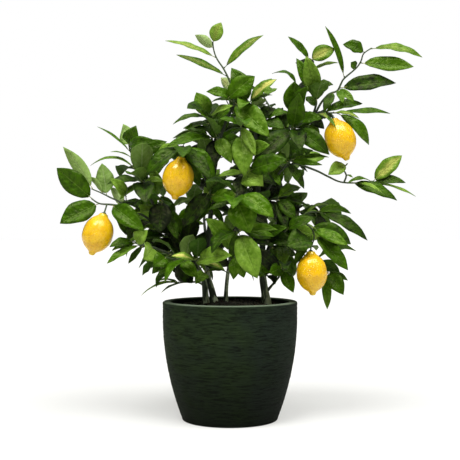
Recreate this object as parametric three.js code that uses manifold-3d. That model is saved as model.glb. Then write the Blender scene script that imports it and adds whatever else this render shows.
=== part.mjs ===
// A lemon tree in a pot: four stems rooted in one planter, each with its branches, the leafy shoots
// that grow from them, and four ripe fruit. Millimetres, +Z up, origin at the centre of the pot's foot.
import * as THREE from 'three';
import { mergeVertices } from 'three/addons/utils/BufferGeometryUtils.js';
import Module from 'manifold-3d';

const wasm = await Module();
wasm.setup();

// ---- driving dimensions ------------------------------------------------------------------------
const GAP = 0.3; // clearance between two pieces that touch

const POT = { rim: 125, foot: 88, height: 219, belly: 190, lip: 16, floor: 14, edge: 3.5, sides: 32 };
const SOIL = { below: 10, mound: 8, lump: 1.6 };
const FRUIT = { radius: 28, sides: 12 };
const LEAF = { half: 0.7, petiole: 1.1, limbFrom: 0.09, heart: 0.6, fold: 0.26, wave: 0.1, swell: 0.9 };
const TRUNK_SIDES = 7;
const BRANCH_SIDES = 5;
const TWIG = { thick: 1.9, fork: 1.4, thin: 0.9, sides: 4 };

// Leaves that grow by rule: how far each leans off its stem, in radians, how long it is, how far its upper
// side is turned to the front, in degrees, its width as a share of its length, its arch, and its droop.
const RULE = {
  lean: [0.75, 1.25], reach: [60, 90], face: [-35, 75], width: [0.4, 0.5], arch: [0.04, 0.13], droop: 0.2,
};
const SEED = 41;

// Places on the plant are read from the front: x to the right and z up, as they look from VIEW.far
// away at the height VIEW.eye, and y is the true depth behind the pot's axis.
const VIEW = { far: 1850, eye: 360 };

// ---- the plan of the plant ----------------------------------------------------------------------
// Woody stems: each node is a trunk and its branches, as [thick end, thin end, points along it].
const WOOD = {
  trunk_left: [
    [6.2, 2.4, [
      [-45, -10, 150], [-45, -10, 205], [-46, -10, 235], [-50, -8, 262], [-66, -4, 290], [-92, 0, 322],
      [-120, 0, 356], [-140, 0, 392], [-154, 0, 428], [-161, 0, 442],
    ]],
    [3, 1.9, [[-92, 0, 322], [-125, -12, 352], [-165, -22, 380], [-200, -28, 395]]],
    [2.8, 1.8, [[-56, -7, 272], [-80, -22, 288], [-108, -34, 304], [-135, -42, 316]]],
    [3, 1.8, [[-66, -4, 290], [-82, 35, 318], [-104, 75, 352], [-120, 110, 392]]],
    [2.4, 1.7, [[-48, -9, 248], [-60, 15, 254], [-72, 28, 254]]],
  ],
  trunk_inner: [
    [6.6, 2.4, [
      [-27, -6, 150], [-28, -6, 205], [-33, 0, 235], [-41, 10, 265], [-45, 16, 300], [-40, 16, 340],
      [-36, 14, 380], [-34, 12, 420], [-27, 8, 470], [-18, 2, 520], [-4, -4, 560], [8, -6, 582],
    ]],
    [2.8, 1.9, [[-34, 12, 420], [-48, -14, 452], [-64, -32, 482], [-76, -40, 497]]],
    [2.4, 1.8, [[-27, 8, 470], [-32, 14, 505], [-34, 12, 532]]],
    [3, 1.8, [[-42, 16, 325], [-48, 60, 370], [-44, 105, 430], [-38, 130, 480]]],
    [2.4, 1.7, [[-44, 15, 290], [-50, -18, 298], [-56, -42, 298]]],
  ],
  trunk_middle: [
    [4.2, 2, [
      [-8, 2, 150], [-8, 2, 205], [-7, 2, 240], [-4, 2, 270], [2, -4, 310], [8, -12, 350],
      [14, -22, 400], [18, -28, 450], [21, -30, 490], [22, -30, 515],
    ]],
    [2.4, 1.8, [[5, -8, 330], [10, -42, 352], [12, -66, 376], [12, -80, 396]]],
    [2.2, 1.6, [[-3, 0, 278], [4, -22, 292], [9, -36, 300]]],
    [2.6, 1.7, [[2, -4, 310], [8, 40, 345], [14, 85, 385], [16, 115, 430]]],
    [2.2, 1.7, [[10, -42, 352], [13, -60, 352], [13, -72, 350]]],
  ],
  trunk_right: [
    [8.2, 2.4, [
      [66, -2, 150], [67, -2, 205], [66, -2, 228], [61, -2, 262], [60, 0, 300], [60, 2, 345],
      [55, 6, 400], [51, 8, 450], [49, 10, 500], [46, 8, 545], [40, 4, 574],
    ]],
    [4, 2.2, [
      [52, 8, 440], [72, 4, 478], [97, -2, 515], [122, -4, 542], [146, -2, 557], [160, 0, 570],
    ]],
    [2.8, 1.9, [[55, 6, 400], [78, -6, 438], [100, -12, 466], [122, -16, 475]]],
    [3.2, 2, [[60, 0, 300], [82, -8, 328], [106, -14, 352], [126, -18, 367]]],
    [3, 1.8, [[66, -2, 234], [78, -8, 248], [90, -12, 262]]],
    [3.2, 1.8, [[60, 0, 290], [76, 45, 330], [94, 88, 380], [104, 112, 425]]],
    [2.6, 1.8, [[49, 10, 490], [62, 52, 530], [80, 82, 570]]],
  ],
};

// Fruit: [where the stalk meets it, its other end], and the shoot and place along it that bears it.
const LEMONS = {
  lemon_left_low: { top: [-234, -44, 381], end: [-258, -50, 304], shoot: 'shoot_left_end', at: 0.45 },
  lemon_left_high: { top: [-90, -60, 486], end: [-103, -66, 407], shoot: 'shoot_lemon_left', at: 0.85 },
  lemon_right_high: {
    top: [192, -38, 557], end: [218, -46, 480], shoot: 'shoot_lemon_right_high', at: 0.7,
  },
  lemon_right_low: { top: [150, -44, 311], end: [154, -50, 229], shoot: 'shoot_lemon_right_low', at: 1 },
};

// Leafy shoots. Each stem is { along: its points, leaves: [[t, x, y, z, face, width, arch], ...] }: t is
// the leaf's place along the stem, x, y and z its tip, face how far its upper side is turned to the
// front (0 faces up, 90 the front, -90 shows the underside), and arch how high it bows over its chord.
// more is the number of leaves that the stem grows by rule besides those.
const SHOOTS = {
  shoot_left_end: [{
    along: [[-200, -28, 395], [-222, -30, 398], [-243, -32, 400], [-257, -32, 409]],
    leaves: [
      [1, -322, -48, 466, 80, 42, 0.06], [0.72, -316, -58, 362, 72, 42, 0.06],
      [0.3, -162, -78, 352, 78, 36, 0.06], [0.15, -192, -24, 341, 40, 20, 0.05],
      [0.1, -166, -48, 388, 30, 22, 0.1],
    ],
  }],
  shoot_left_high: [{
    along: [[-190, -26, 391], [-207, -20, 404], [-222, -14, 411], [-240, -10, 420], [-257, -6, 427]],
    leaves: [
      [1, -308, 8, 505, -72, 27, 0.08], [0.72, -262, 8, 450, -45, 16, 0.06],
      [0.6, -238, 22, 475, -85, 36, 0.05], [0.1, -222, 25, 430, -80, 20, 0.05],
    ],
  }],
  shoot_left_top: [{
    along: [[-161, 0, 442], [-171, 0, 458], [-179, 0, 480], [-186, 0, 500], [-188, 0, 510]],
    leaves: [
      [0.2, -259, -12, 473, 25, 13, 0.22], [0.62, -221, -22, 498, 20, 9, 0.05],
      [0.8, -246, 12, 543, 12, 11, 0.04], [1, -198, 30, 547, -80, 30, 0.06],
      [1, -176, -24, 543, 78, 30, 0.1], [0.9, -132, -30, 514, 55, 22, 0.36],
      [0.6, -121, -45, 516, 75, 32, 0.06],
    ],
    more: 2,
  }],
  shoot_left_mid: [{
    along: [[-156, 0, 431], [-163, -12, 440], [-168, -20, 444]],
    leaves: [
      [0.9, -228, -34, 439, 40, 22, 0.06], [0.7, -141, -38, 455, 30, 9, 0.1],
      [0.4, -124, -36, 443, 50, 16, 0.08], [0.3, -193, -10, 421, 50, 12, 0.06],
      [0.2, -205, -25, 409, 40, 14, 0.1],
    ],
    more: 2,
  }],
  shoot_left_low: [{
    along: [[-135, -42, 316], [-155, -47, 322], [-170, -50, 324], [-182, -50, 332]],
    leaves: [
      [1, -224, -62, 319, 50, 20, 0.06], [0.8, -220, -42, 313, 40, 20, 0.06],
      [0.62, -229, -66, 288, 45, 17, 0.08], [0.5, -189, -48, 288, 60, 12, 0.06],
      [0.9, -156, -72, 349, 85, 27, 0.08], [0.08, -160, -76, 297, 85, 42, 0.1],
    ],
  }],
  shoot_low_left: [{
    along: [[-64, -5, 288], [-84, -28, 292], [-104, -46, 297], [-120, -56, 300]],
    leaves: [
      [1, -142, -76, 284, 78, 30, 0.08], [0.8, -146, -52, 271, 60, 22, 0.06],
      [0.55, -60, -60, 263, 70, 24, 0.06], [0.9, -118, -40, 262, 40, 12, 0.1],
      [0.7, -133, -30, 266, 50, 10, 0.1],
    ],
    more: 2,
  }],
  shoot_low_back_left: [{
    along: [[-72, 28, 254], [-84, 32, 254], [-96, 36, 252]],
    leaves: [
      [0.9, -165, 40, 229, 15, 14, 0.12], [0.3, -128, 18, 236, 5, 12, 0.05],
      [1, -138, 62, 256, 15, 12, 0.08],
    ],
    more: 1,
  }],
  shoot_low_front: [{
    along: [[-56, -42, 298], [-60, -60, 296], [-63, -74, 293]],
    leaves: [[1, -10, -92, 277, 45, 17, 0.07], [1, -108, -92, 304, 48, 17, 0.07]],
    more: 3,
  }],
  shoot_lemon_left: [{
    along: [[-76, -40, 497], [-84, -46, 504], [-91, -50, 506]],
    leaves: [
      [0.8, -26, -62, 452, 62, 32, 0.1], [0.6, -34, -96, 444, 60, 26, 0.08],
      [1, -158, -66, 456, 55, 32, 0.08], [0.5, -56, -30, 430, 65, 24, 0.05],
      [1, -138, -24, 494, 40, 18, 0.1], [0.9, -70, -8, 532, 45, 14, 0.1],
    ],
    more: 1,
  }],
  shoot_center_left: [{
    along: [[-18, 2, 520], [-24, -12, 522], [-28, -22, 522]],
    leaves: [[1, -118, -40, 505, 48, 24, 0.08]],
    more: 3,
  }],
  shoot_upper_left: [{
    along: [[-34, 12, 532], [-37, 6, 548], [-39, 0, 562]],
    leaves: [
      [0.5, -83, -14, 537, 35, 17, 0.08], [0.9, -106, -16, 547, 35, 16, 0.14],
      [1, -62, -12, 606, 82, 33, 0.06], [0.9, 4, -28, 583, 50, 18, 0.08],
    ],
    more: 2,
  }],
  shoot_top_left: [{
    along: [
      [8, -6, 582], [4, -5, 612], [-3, -3, 632], [-12, 0, 650], [-24, 2, 668], [-30, 3, 684],
      [-32, 3, 700],
    ],
    leaves: [
      [0.42, -100, -14, 675, 45, 19, 0.04], [0.76, -120, 0, 702, 40, 16, 0.04],
      [0.56, 60, -8, 715, 48, 20, 0.04], [0.92, -63, 14, 713, -60, 20, 0.02],
      [1, -17, -6, 736, 76, 26, 0.06], [0.06, -42, -26, 610, 60, 24, 0.08],
      [0.2, -18, 24, 634, -70, 24, 0.06], [0.02, -35, 8, 591, 30, 14, 0.05],
      [0.02, 74, -68, 523, 84, 42, 0.06],
    ],
  }],
  shoot_top_middle: [{
    along: [[40, 4, 574], [36, 0, 584], [34, -2, 590]],
    leaves: [
      [1, 4, -20, 651, 84, 37, 0.06], [0.9, 85, -14, 632, 50, 24, 0.06],
      [0.8, 78, 20, 632, -50, 20, 0.06], [0.6, 77, -8, 604, 35, 16, 0.05],
      [0.3, 66, 10, 592, -75, 20, 0.05],
    ],
    more: 1,
  }],
  shoot_upper_middle: [{
    along: [[47, 9, 538], [58, 2, 550], [66, -4, 558]],
    leaves: [[1, 107, -10, 570, 45, 20, 0.08], [0.8, 100, -30, 540, 60, 26, 0.06]],
    more: 2,
  }],
  shoot_center_top: [{
    along: [[22, -30, 515], [20, -44, 532], [20, -52, 546]],
    leaves: [
      [1, 47, -84, 488, 60, 20, 0.08], [0.5, 27, -88, 452, 80, 38, 0.08],
      [1, -21, -66, 556, 40, 17, 0.08], [0.2, -12, -22, 508, 70, 26, 0.06],
    ],
    more: 1,
  }],
  shoot_center_right: [{
    along: [[112, -3, 533], [118, -18, 538], [122, -28, 541]],
    leaves: [[1, 43, -58, 478, 66, 38, 0.06], [0.8, 184, -52, 493, 58, 34, 0.1]],
    more: 2,
  }],
  shoot_mid_right: [{
    along: [[98, -12, 464], [106, -24, 476], [114, -32, 482]],
    leaves: [
      [1, 184, -46, 486, 42, 14, 0.05], [0.6, 138, -38, 428, 55, 18, 0.06],
      [0.3, 132, -8, 432, 30, 14, 0.06], [0.7, 80, -52, 487, 70, 22, 0.05],
      [0.9, 171, -62, 472, 60, 12, 0.05],
    ],
    more: 2,
  }],
  shoot_right_branch: [{
    along: [
      [122, -16, 475], [160, -18, 461], [182, -19, 450], [205, -20, 440], [235, -20, 438],
      [267, -20, 440],
    ],
    leaves: [
      [1, 319, -28, 490, 66, 30, 0.04], [1, 326, -36, 441, 58, 18, 0.08],
      [0.97, 345, -14, 413, 30, 11, 0.05], [0.72, 311, -40, 408, 60, 25, 0.08],
      [1, 218, -40, 440, 48, 14, 0.12], [0.8, 283, -50, 420, 50, 8, 0.1],
    ],
  }, {
    along: [[212, -20, 440], [216, -24, 452], [211, -28, 464], [218, -30, 474]],
    leaves: [[1, 183, -46, 455, 70, 26, 0.06], [0.3, 228, -30, 448, 30, 6, 0.05]],
  }],
  shoot_lemon_right_high: [{
    along: [[150, -2, 560], [166, -10, 566], [186, -15, 568], [203, -16, 568]],
    leaves: [
      [0.4, 246, 6, 584, 48, 24, 0.1], [1, 298, -14, 570, 45, 15, 0.03],
      [0.8, 240, -40, 559, 40, 12, 0.08], [0.95, 260, -6, 510, 58, 26, 0.14],
      [0.3, 197, -72, 542, 35, 8, 0.06], [0.2, 181, -40, 557, 40, 12, 0.08],
    ],
  }],
  shoot_top_right: [{
    along: [
      [160, 0, 570], [170, 2, 588], [184, 3, 603], [199, 3, 609], [206, 3, 622], [212, 2, 632],
      [234, 0, 651], [243, 0, 664], [248, 0, 678], [262, 0, 688],
    ],
    leaves: [
      [0.52, 179, -8, 730, 30, 15, 0.03], [0.38, 308, -14, 627, 66, 33, 0.03],
      [0.78, 341, -16, 654, 70, 31, 0.01], [1, 357, -4, 671, 48, 22, 0.1],
      [0.92, 211, -8, 697, 70, 26, 0.1], [0.7, 224, -10, 662, 70, 18, 0.08],
      [0.36, 210, -30, 586, 60, 15, 0.05], [0.38, 231, -22, 588, 60, 14, 0.05],
      [0.3, 174, -30, 572, 55, 18, 0.05],
    ],
  }],
  shoot_crown_right: [{
    along: [[154, -1, 565], [159, -8, 580], [160, -10, 592], [154, -8, 630], [148, -4, 668]],
    leaves: [
      [0.25, 124, -20, 670, 76, 26, 0.06], [0.28, 141, -34, 673, 84, 32, 0.05],
      [1, 107, -10, 709, 48, 17, 0.05], [1, 193, -14, 690, 72, 32, 0.01],
      [0.8, 201, 4, 662, 35, 12, 0.05], [0.5, 191, -20, 622, 60, 17, 0.08],
      [0.1, 142, 10, 600, 60, 17, 0.06],
    ],
    more: 2,
  }],
  shoot_crown_middle: [{
    along: [[106, 0, 528], [112, 8, 546], [117, 10, 562], [120, 14, 590], [125, 16, 618]],
    leaves: [
      [0.4, 119, -6, 627, 84, 40, 0.06], [0.45, 144, -16, 618, 70, 26, 0.08],
      [1, 79, 14, 643, 30, 15, 0.25],
    ],
    more: 2,
  }],
  shoot_lemon_right_low: [{
    along: [[126, -18, 367], [142, -24, 362], [154, -28, 350], [156, -30, 334], [152, -32, 324]],
    leaves: [
      [0.9, 104, -62, 321, 78, 48, 0.06], [0.5, 219, -66, 322, 60, 24, 0.06],
      [0.7, 219, -50, 275, 55, 30, 0.08], [0.35, 226, -24, 327, 66, 38, 0.06],
      [0.6, 118, -56, 284, 60, 17, 0.06],
    ],
  }],
  shoot_right_fan: [{
    along: [[116, -16, 360], [132, -8, 377], [148, -4, 384], [166, -2, 384]],
    leaves: [
      [1, 256, -22, 332, 58, 24, 0.14], [0.9, 225, 6, 382, 50, 20, 0.14],
      [0.5, 185, 24, 398, 20, 11, 0.12], [0.4, 160, -24, 388, 20, 8, 0.06],
    ],
    more: 1,
  }],
  shoot_right_under: [{
    along: [[84, -6, 330], [112, 8, 318], [142, 16, 302], [166, 16, 286], [182, 12, 270]],
    leaves: [
      [1, 211, -12, 231, 72, 30, 0.08], [0.95, 181, 8, 203, 55, 18, 0.06],
      [0.75, 204, 14, 273, -60, 26, 0.06], [1, 219, 10, 257, 50, 14, 0.08],
    ],
    more: 2,
  }],
  shoot_low_right: [{
    along: [[90, -12, 262], [96, -18, 276], [100, -22, 286]],
    leaves: [[0.5, 118, -42, 236, 65, 24, 0.06], [0.8, 72, -44, 270, 78, 26, 0.06]],
    more: 3,
  }],
  shoot_center_front: [{
    along: [[12, -80, 396], [9, -88, 407], [14, -93, 417]],
    leaves: [
      [0.6, 37, -116, 348, 80, 52, 0.06], [1, 82, -112, 377, 78, 38, 0.06],
      [0.2, -40, -92, 388, 40, 14, 0.06],
    ],
    more: 2,
  }],
  shoot_center_high: [{
    along: [[18, -28, 450], [26, -52, 457], [34, -70, 460]],
    leaves: [
      [0.5, 58, -84, 437, 80, 44, 0.08], [0.6, -22, -64, 450, 45, 16, 0.06],
      [0.8, 88, -60, 436, 50, 26, 0.06],
    ],
    more: 2,
  }],
  shoot_center_low: [{
    along: [[13, -72, 350], [14, -84, 350], [16, -94, 347]],
    leaves: [
      [1, 51, -122, 261, 82, 45, 0.06], [0.6, 82, -78, 338, 50, 17, 0.1],
      [0.5, 88, -92, 353, 55, 18, 0.06], [0.3, 2, -60, 295, 60, 18, 0.06],
    ],
    more: 1,
  }],
  shoot_low_middle: [{
    along: [[9, -36, 300], [11, -42, 303], [12, -48, 305]],
    leaves: [
      [1, 6, -62, 260, 70, 22, 0.06], [0.8, 26, -50, 262, 75, 22, 0.06],
      [0.4, 46, -30, 258, 15, 12, 0.05],
    ],
    more: 1,
  }],
  shoot_right_inner: [{
    along: [[55, 6, 398], [72, -8, 406], [90, -16, 410]],
    leaves: [
      [1, 121, -34, 371, 60, 26, 0.06], [0.7, 148, -12, 395, 30, 15, 0.06],
      [0.9, 105, -40, 352, 70, 22, 0.06], [0.5, 68, -34, 372, 60, 20, 0.06],
    ],
    more: 2,
  }],
  shoot_left_inner: [{
    along: [[-118, 0, 354], [-120, -16, 374], [-124, -30, 400], [-126, -34, 408]],
    leaves: [[1, -132, -58, 344, 75, 42, 0.06], [0.6, -97, -52, 334, 50, 20, 0.06]],
    more: 3,
  }],
  shoot_inner_left: [{
    along: [[-36, 14, 378], [-38, -10, 405], [-36, -26, 426]],
    leaves: [
      [1, -86, -52, 357, 72, 34, 0.06], [0.7, -62, -40, 367, 60, 26, 0.06],
      [0.5, -12, -30, 358, 30, 14, 0.06],
    ],
    more: 3,
  }],
  shoot_back_left: [{ along: [[-120, 110, 392], [-140, 125, 420], [-155, 130, 455]], more: 6 }],
  shoot_back_left_mid: [{ along: [[-104, 75, 352], [-140, 80, 362], [-175, 85, 380]], more: 6 }],
  shoot_back_left_low: [{ along: [[-82, 35, 318], [-110, 60, 310], [-140, 80, 305]], more: 5 }],
  shoot_back_inner: [{ along: [[-38, 130, 480], [-35, 140, 515], [-30, 142, 550]], more: 6 }],
  shoot_back_inner_left: [{ along: [[-44, 105, 430], [-75, 125, 450], [-100, 138, 480]], more: 6 }],
  shoot_back_inner_low: [{ along: [[-48, 60, 370], [-30, 100, 370], [-15, 135, 380]], more: 5 }],
  shoot_back_middle: [{ along: [[16, 115, 430], [20, 135, 465], [25, 145, 500]], more: 5 }],
  shoot_back_middle_right: [{ along: [[14, 85, 385], [40, 115, 390], [60, 140, 405]], more: 5 }],
  shoot_back_middle_low: [{ along: [[8, 40, 345], [0, 80, 325], [-5, 115, 315]], more: 5 }],
  shoot_back_right: [{ along: [[104, 112, 425], [115, 130, 460], [125, 135, 495]], more: 6 }],
  shoot_back_right_mid: [{ along: [[94, 88, 380], [130, 100, 385], [165, 105, 400]], more: 6 }],
  shoot_back_right_low: [{ along: [[76, 45, 330], [105, 75, 320], [130, 95, 312]], more: 5 }],
  shoot_back_top: [{ along: [[80, 82, 570], [66, 92, 592], [55, 96, 612]], more: 5 }],
  shoot_back_top_left: [{ along: [[62, 52, 530], [30, 80, 545], [5, 95, 560]], more: 6 }],
};

// Leaves grown by rule keep inside the crown's outline, and off the fruit and the gaps that show in it.
const CROWN = [
  [-120, 250], [-165, 262], [-205, 290], [-222, 330], [-212, 370], [-232, 405], [-228, 445],
  [-205, 480], [-205, 545], [-140, 545], [-122, 512], [-112, 545], [-70, 600], [-20, 605], [0, 650],
  [45, 645], [85, 625], [75, 590], [98, 580], [105, 640], [125, 675], [165, 682], [192, 640],
  [192, 600], [240, 590], [250, 560], [188, 540], [184, 488], [140, 470], [138, 430], [152, 402],
  [225, 388], [238, 345], [228, 285], [205, 235], [120, 240], [70, 262],
];
const GAPS = [
  [-38, 356, 17], [-12, 474, 13], [-95, 386, 10], [74, 312, 12], [108, 436, 12], [-176, 414, 11],
  [-200, 345, 8], [112, 575, 8], [140, 585, 8], [155, 575, 8], [-22, 240, 30], [25, 240, 30],
  [-97, 446, 38], [-246, 342, 38], [205, 518, 38], [152, 270, 38],
];

// ---- ways of making ------------------------------------------------------------------------------
const place = ([x, y, z]) => {
  const nearness = 1 + y / VIEW.far;
  return new THREE.Vector3(x * nearness, y, VIEW.eye + (z - VIEW.eye) * nearness);
};
const seen = (p) => {
  const nearness = 1 + p.y / VIEW.far;
  return [p.x / nearness, VIEW.eye + (p.z - VIEW.eye) / nearness];
};

function solid(geometry) {
  const bare = new THREE.BufferGeometry();
  bare.setAttribute('position', geometry.getAttribute('position'));
  bare.setIndex(geometry.index);
  const merged = mergeVertices(bare, 1e-3);
  return new wasm.Manifold(new wasm.Mesh({
    numProp: 3,
    vertProperties: new Float32Array(merged.attributes.position.array),
    triVerts: new Uint32Array(merged.index.array),
  }));
}

function geometryOf(made) {
  const { vertProperties, triVerts } = made.getMesh();
  const geometry = new THREE.BufferGeometry();
  geometry.setAttribute('position', new THREE.BufferAttribute(vertProperties, 3));
  geometry.setIndex(new THREE.BufferAttribute(triVerts, 1));
  return geometry;
}

function mesh(name, made, material) {
  const geometry = geometryOf(made);
  geometry.computeVertexNormals();
  const out = new THREE.Mesh(geometry, material);
  out.name = name;
  return out;
}

// The one body that is left when a cut has made crumbs, or has left two corners in one place.
const largest = (made) => made.decompose().reduce((a, b) => (b.volume() > a.volume() ? b : a));
const whole = (made) => largest(solid(geometryOf(largest(made))));

// Turned shapes stand on Z.
const turned = (points, sides) => {
  const outline = points.map(([r, z]) => new THREE.Vector2(r, z));
  return new THREE.LatheGeometry(outline, sides).rotateX(Math.PI / 2);
};

// A tapering stem: a cylinder with one ring of vertices moved to each point of its route.
function stem(points, thick, thin, sides, extra = 0) {
  const steps = points.length - 1;
  const way = points.map((p, i) => {
    const before = points[Math.max(i - 1, 0)];
    return points[Math.min(i + 1, steps)].clone().sub(before).normalize();
  });
  const ends = points.map((p) => p.clone());
  ends[0].addScaledVector(way[0], -extra);
  ends[steps].addScaledVector(way[steps], extra);
  const side = new THREE.Vector3(1, 0, 0).cross(way[0]);
  if (side.length() < 0.3) side.set(0, 1, 0).cross(way[0]);
  const frames = way.map((w) => {
    side.addScaledVector(w, -side.dot(w)).normalize();
    return [side.clone(), side.clone().cross(w)];
  });
  const geometry = new THREE.CylinderGeometry(1, 1, 1, sides, steps);
  const at = geometry.getAttribute('position');
  for (let i = 0; i < at.count; i += 1) {
    const ring = Math.round((at.getY(i) + 0.5) * steps);
    const radius = THREE.MathUtils.lerp(thick, thin, ring / steps) + extra;
    const p = ends[ring].clone()
      .addScaledVector(frames[ring][0], at.getX(i) * radius)
      .addScaledVector(frames[ring][1], at.getZ(i) * radius);
    at.setXYZ(i, p.x, p.y, p.z);
  }
  return solid(geometry);
}

// A place on a twig where a leaf can root, clear of the wood at its start and inside it at its end,
// and the direction there.
const ROOT_FROM = 5;
const ROOT_SINK = 2.5;
function along(points, t) {
  const lengths = points.slice(1).map((p, i) => p.distanceTo(points[i]));
  let left = ROOT_FROM + t * (lengths.reduce((a, b) => a + b) - ROOT_FROM - ROOT_SINK);
  let i = 0;
  while (i < lengths.length - 1 && left > lengths[i]) {
    left -= lengths[i];
    i += 1;
  }
  const way = points[i + 1].clone().sub(points[i]).divideScalar(lengths[i]);
  return { at: points[i].clone().addScaledVector(way, left), way };
}

// The upper side's direction: face turns it from facing up to facing the front, as far as the leaf's way
// lets it. A leaf seen nearly end-on looks up instead, or to the front where it hangs or stands steeply.
const END_ON = 0.3;
const STEEP = 0.7;
function upperSide(way, face) {
  const turn = THREE.MathUtils.degToRad(face);
  const side = new THREE.Vector3(0, -Math.sin(turn), Math.cos(turn));
  side.addScaledVector(way, -side.dot(way));
  if (side.length() < END_ON) {
    if (Math.abs(way.z) > STEEP) side.set(0, -1, 0);
    else side.set(0, 0, 1);
    side.addScaledVector(way, -side.dot(way));
  }
  return side.normalize();
}

// A blade is a keeled lens along its midrib, pointed at both ends: the stalk, then the limb.
// Each station is [share of the length, share of the half width], and narrow leaves have fewer.
const STATIONS = [[0.12, 0], [0.33, 0.84], [0.57, 1], [0.81, 0.66]];
const FEW_STATIONS = [[0.12, 0], [0.4, 1], [0.72, 0.86]];
const BROAD = 24;
function blade(leaf, from = 0, swell = 0) {
  const chord = leaf.tip.clone().sub(leaf.root);
  const length = chord.length();
  const way = chord.normalize();
  const across = way.clone().cross(leaf.face);
  const half = LEAF.half + swell;
  const midrib = (u) => leaf.root.clone().addScaledVector(way, u * length)
    .addScaledVector(leaf.face, leaf.arch * length * 4 * u * (1 - u));
  const points = [midrib(from)];
  leaf.stations.forEach(([u, share], i) => {
    const wide = (share ? (share * leaf.width) / 2 : LEAF.petiole) + swell;
    const mid = midrib(u);
    const lift = (side) => (share ? wide * (LEAF.fold + side * LEAF.wave * (i % 2 ? 1 : -1)) : 0);
    points.push(
      mid.clone().addScaledVector(across, -wide).addScaledVector(leaf.face, lift(-1)),
      mid.clone().addScaledVector(leaf.face, half),
      mid.clone().addScaledVector(across, wide).addScaledVector(leaf.face, lift(1)),
      mid.clone().addScaledVector(leaf.face, -half),
    );
  });
  points.push(midrib(1));
  const last = points.length - 1;
  const faces = [];
  for (let k = 0; k < 4; k += 1) {
    const next = (k + 1) % 4;
    faces.push(0, 1 + next, 1 + k, last, last - 4 + k, last - 4 + next);
    for (let i = 1; i + 4 < last; i += 4) {
      // The two quads on one side of the midrib are split along the same line, above and below.
      const [a, b, c, d] = [i + k, i + next, i + 4 + next, i + 4 + k];
      if (k % 2) faces.push(a, b, d, b, c, d);
      else faces.push(a, c, d, a, b, c);
    }
  }
  const geometry = new THREE.BufferGeometry().setFromPoints(points);
  geometry.setIndex(faces);
  return solid(geometry);
}

const state = { seed: SEED };
function draw() {
  state.seed = (state.seed * 1664525 + 1013904223) % 4294967296;
  return state.seed / 4294967296;
}
const between = (low, high) => low + (high - low) * draw();

const insideCrown = ([x, z]) => {
  let inside = false;
  CROWN.forEach(([x1, z1], i) => {
    const [x2, z2] = CROWN[(i + 1) % CROWN.length];
    if (z1 > z !== z2 > z && x < ((x2 - x1) * (z - z1)) / (z2 - z1) + x1) inside = !inside;
  });
  return inside && GAPS.every(([gx, gz, r]) => Math.hypot(x - gx, z - gz) > r);
};

// ---- pot and soil --------------------------------------------------------------------------------
const potRadius = (z) => POT.rim - (POT.rim - POT.foot) * Math.max(0, 1 - z / POT.belly) ** 2;
const innerRadius = (z) => potRadius(z) - POT.lip;
const POT_HEIGHTS = [10, 42, 82, 126, 172];

function potProfile() {
  const top = POT.height;
  const outside = POT_HEIGHTS.map((z) => [potRadius(z), z]);
  const inside = POT_HEIGHTS.slice(1).reverse().map((z) => [innerRadius(z), z]);
  return [[0, 0], [POT.foot - POT.edge, 0], [POT.foot + 0.6, POT.edge], ...outside,
    [POT.rim, top - POT.edge], [POT.rim - POT.edge, top], [POT.rim - POT.lip + POT.edge, top],
    [POT.rim - POT.lip, top - POT.edge], ...inside, [innerRadius(POT.floor) - 4, POT.floor], [0, POT.floor]];
}

function soilSolid(holes) {
  const top = POT.height - SOIL.below;
  const wall = POT_HEIGHTS.slice(1).map((z) => [innerRadius(z) - GAP, z]);
  const rings = [0.85, 0.6, 0.3]
    .map((share) => [share * innerRadius(top), top + SOIL.mound * (1 - share ** 2)]);
  const profile = [[0, POT.floor + GAP], [innerRadius(POT.floor) - 5, POT.floor + GAP], ...wall,
    [innerRadius(top) - GAP, top], ...rings, [0, top + SOIL.mound]];
  const geometry = turned(profile, POT.sides);
  const at = geometry.getAttribute('position');
  for (let i = 0; i < at.count; i += 1) {
    const [x, y, z] = [at.getX(i), at.getY(i), at.getZ(i)];
    const lump = SOIL.lump * Math.sin(x * 0.31 + 2) * Math.cos(y * 0.27 + x * 0.05);
    if (z > top + 0.1) at.setZ(i, z + lump);
  }
  return holes.reduce((made, hole) => made.subtract(hole), solid(geometry));
}

// ---- fruit ----------------------------------------------------------------------------------------
// Neck, belly and nipple of a lemon along -Z, for a fruit of unit length and a belly of unit radius.
const LEMON_PROFILE = [[0, -1], [0.17, -0.98], [0.27, -0.92], [0.46, -0.87], [0.76, -0.77], [0.97, -0.6],
  [0.99, -0.42], [0.8, -0.22], [0.48, -0.105], [0.3, -0.05], [0.22, 0], [0, 0]];

function lemonSolid(top, end) {
  const length = top.distanceTo(end);
  const geometry = turned(LEMON_PROFILE.map(([r, z]) => [r * FRUIT.radius, z * length]), FRUIT.sides);
  const down = end.clone().sub(top).normalize();
  geometry.applyQuaternion(new THREE.Quaternion().setFromUnitVectors(new THREE.Vector3(0, 0, -1), down));
  return solid(geometry.translate(top.x, top.y, top.z));
}

// The stalk from the shoot to the fruit, with the calyx that grips the fruit's neck.
const CALYX = { wide: 5.2, neck: 1.95, high: 2.6, sides: 7, stalk: 1.5, bow: 3 };
function stalkSolid(from, top, end) {
  const up = top.clone().sub(end).normalize();
  const seat = top.clone().addScaledVector(up, GAP);
  const crown = seat.clone().addScaledVector(up, CALYX.high);
  const bow = from.clone().lerp(crown, 0.5).addScaledVector(up, CALYX.bow);
  const stalk = stem([from, bow, crown, seat.clone().lerp(crown, 0.4)], CALYX.stalk, CALYX.stalk, TWIG.sides);
  return stem([seat, crown], CALYX.wide, CALYX.neck, CALYX.sides).add(stalk);
}

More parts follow.
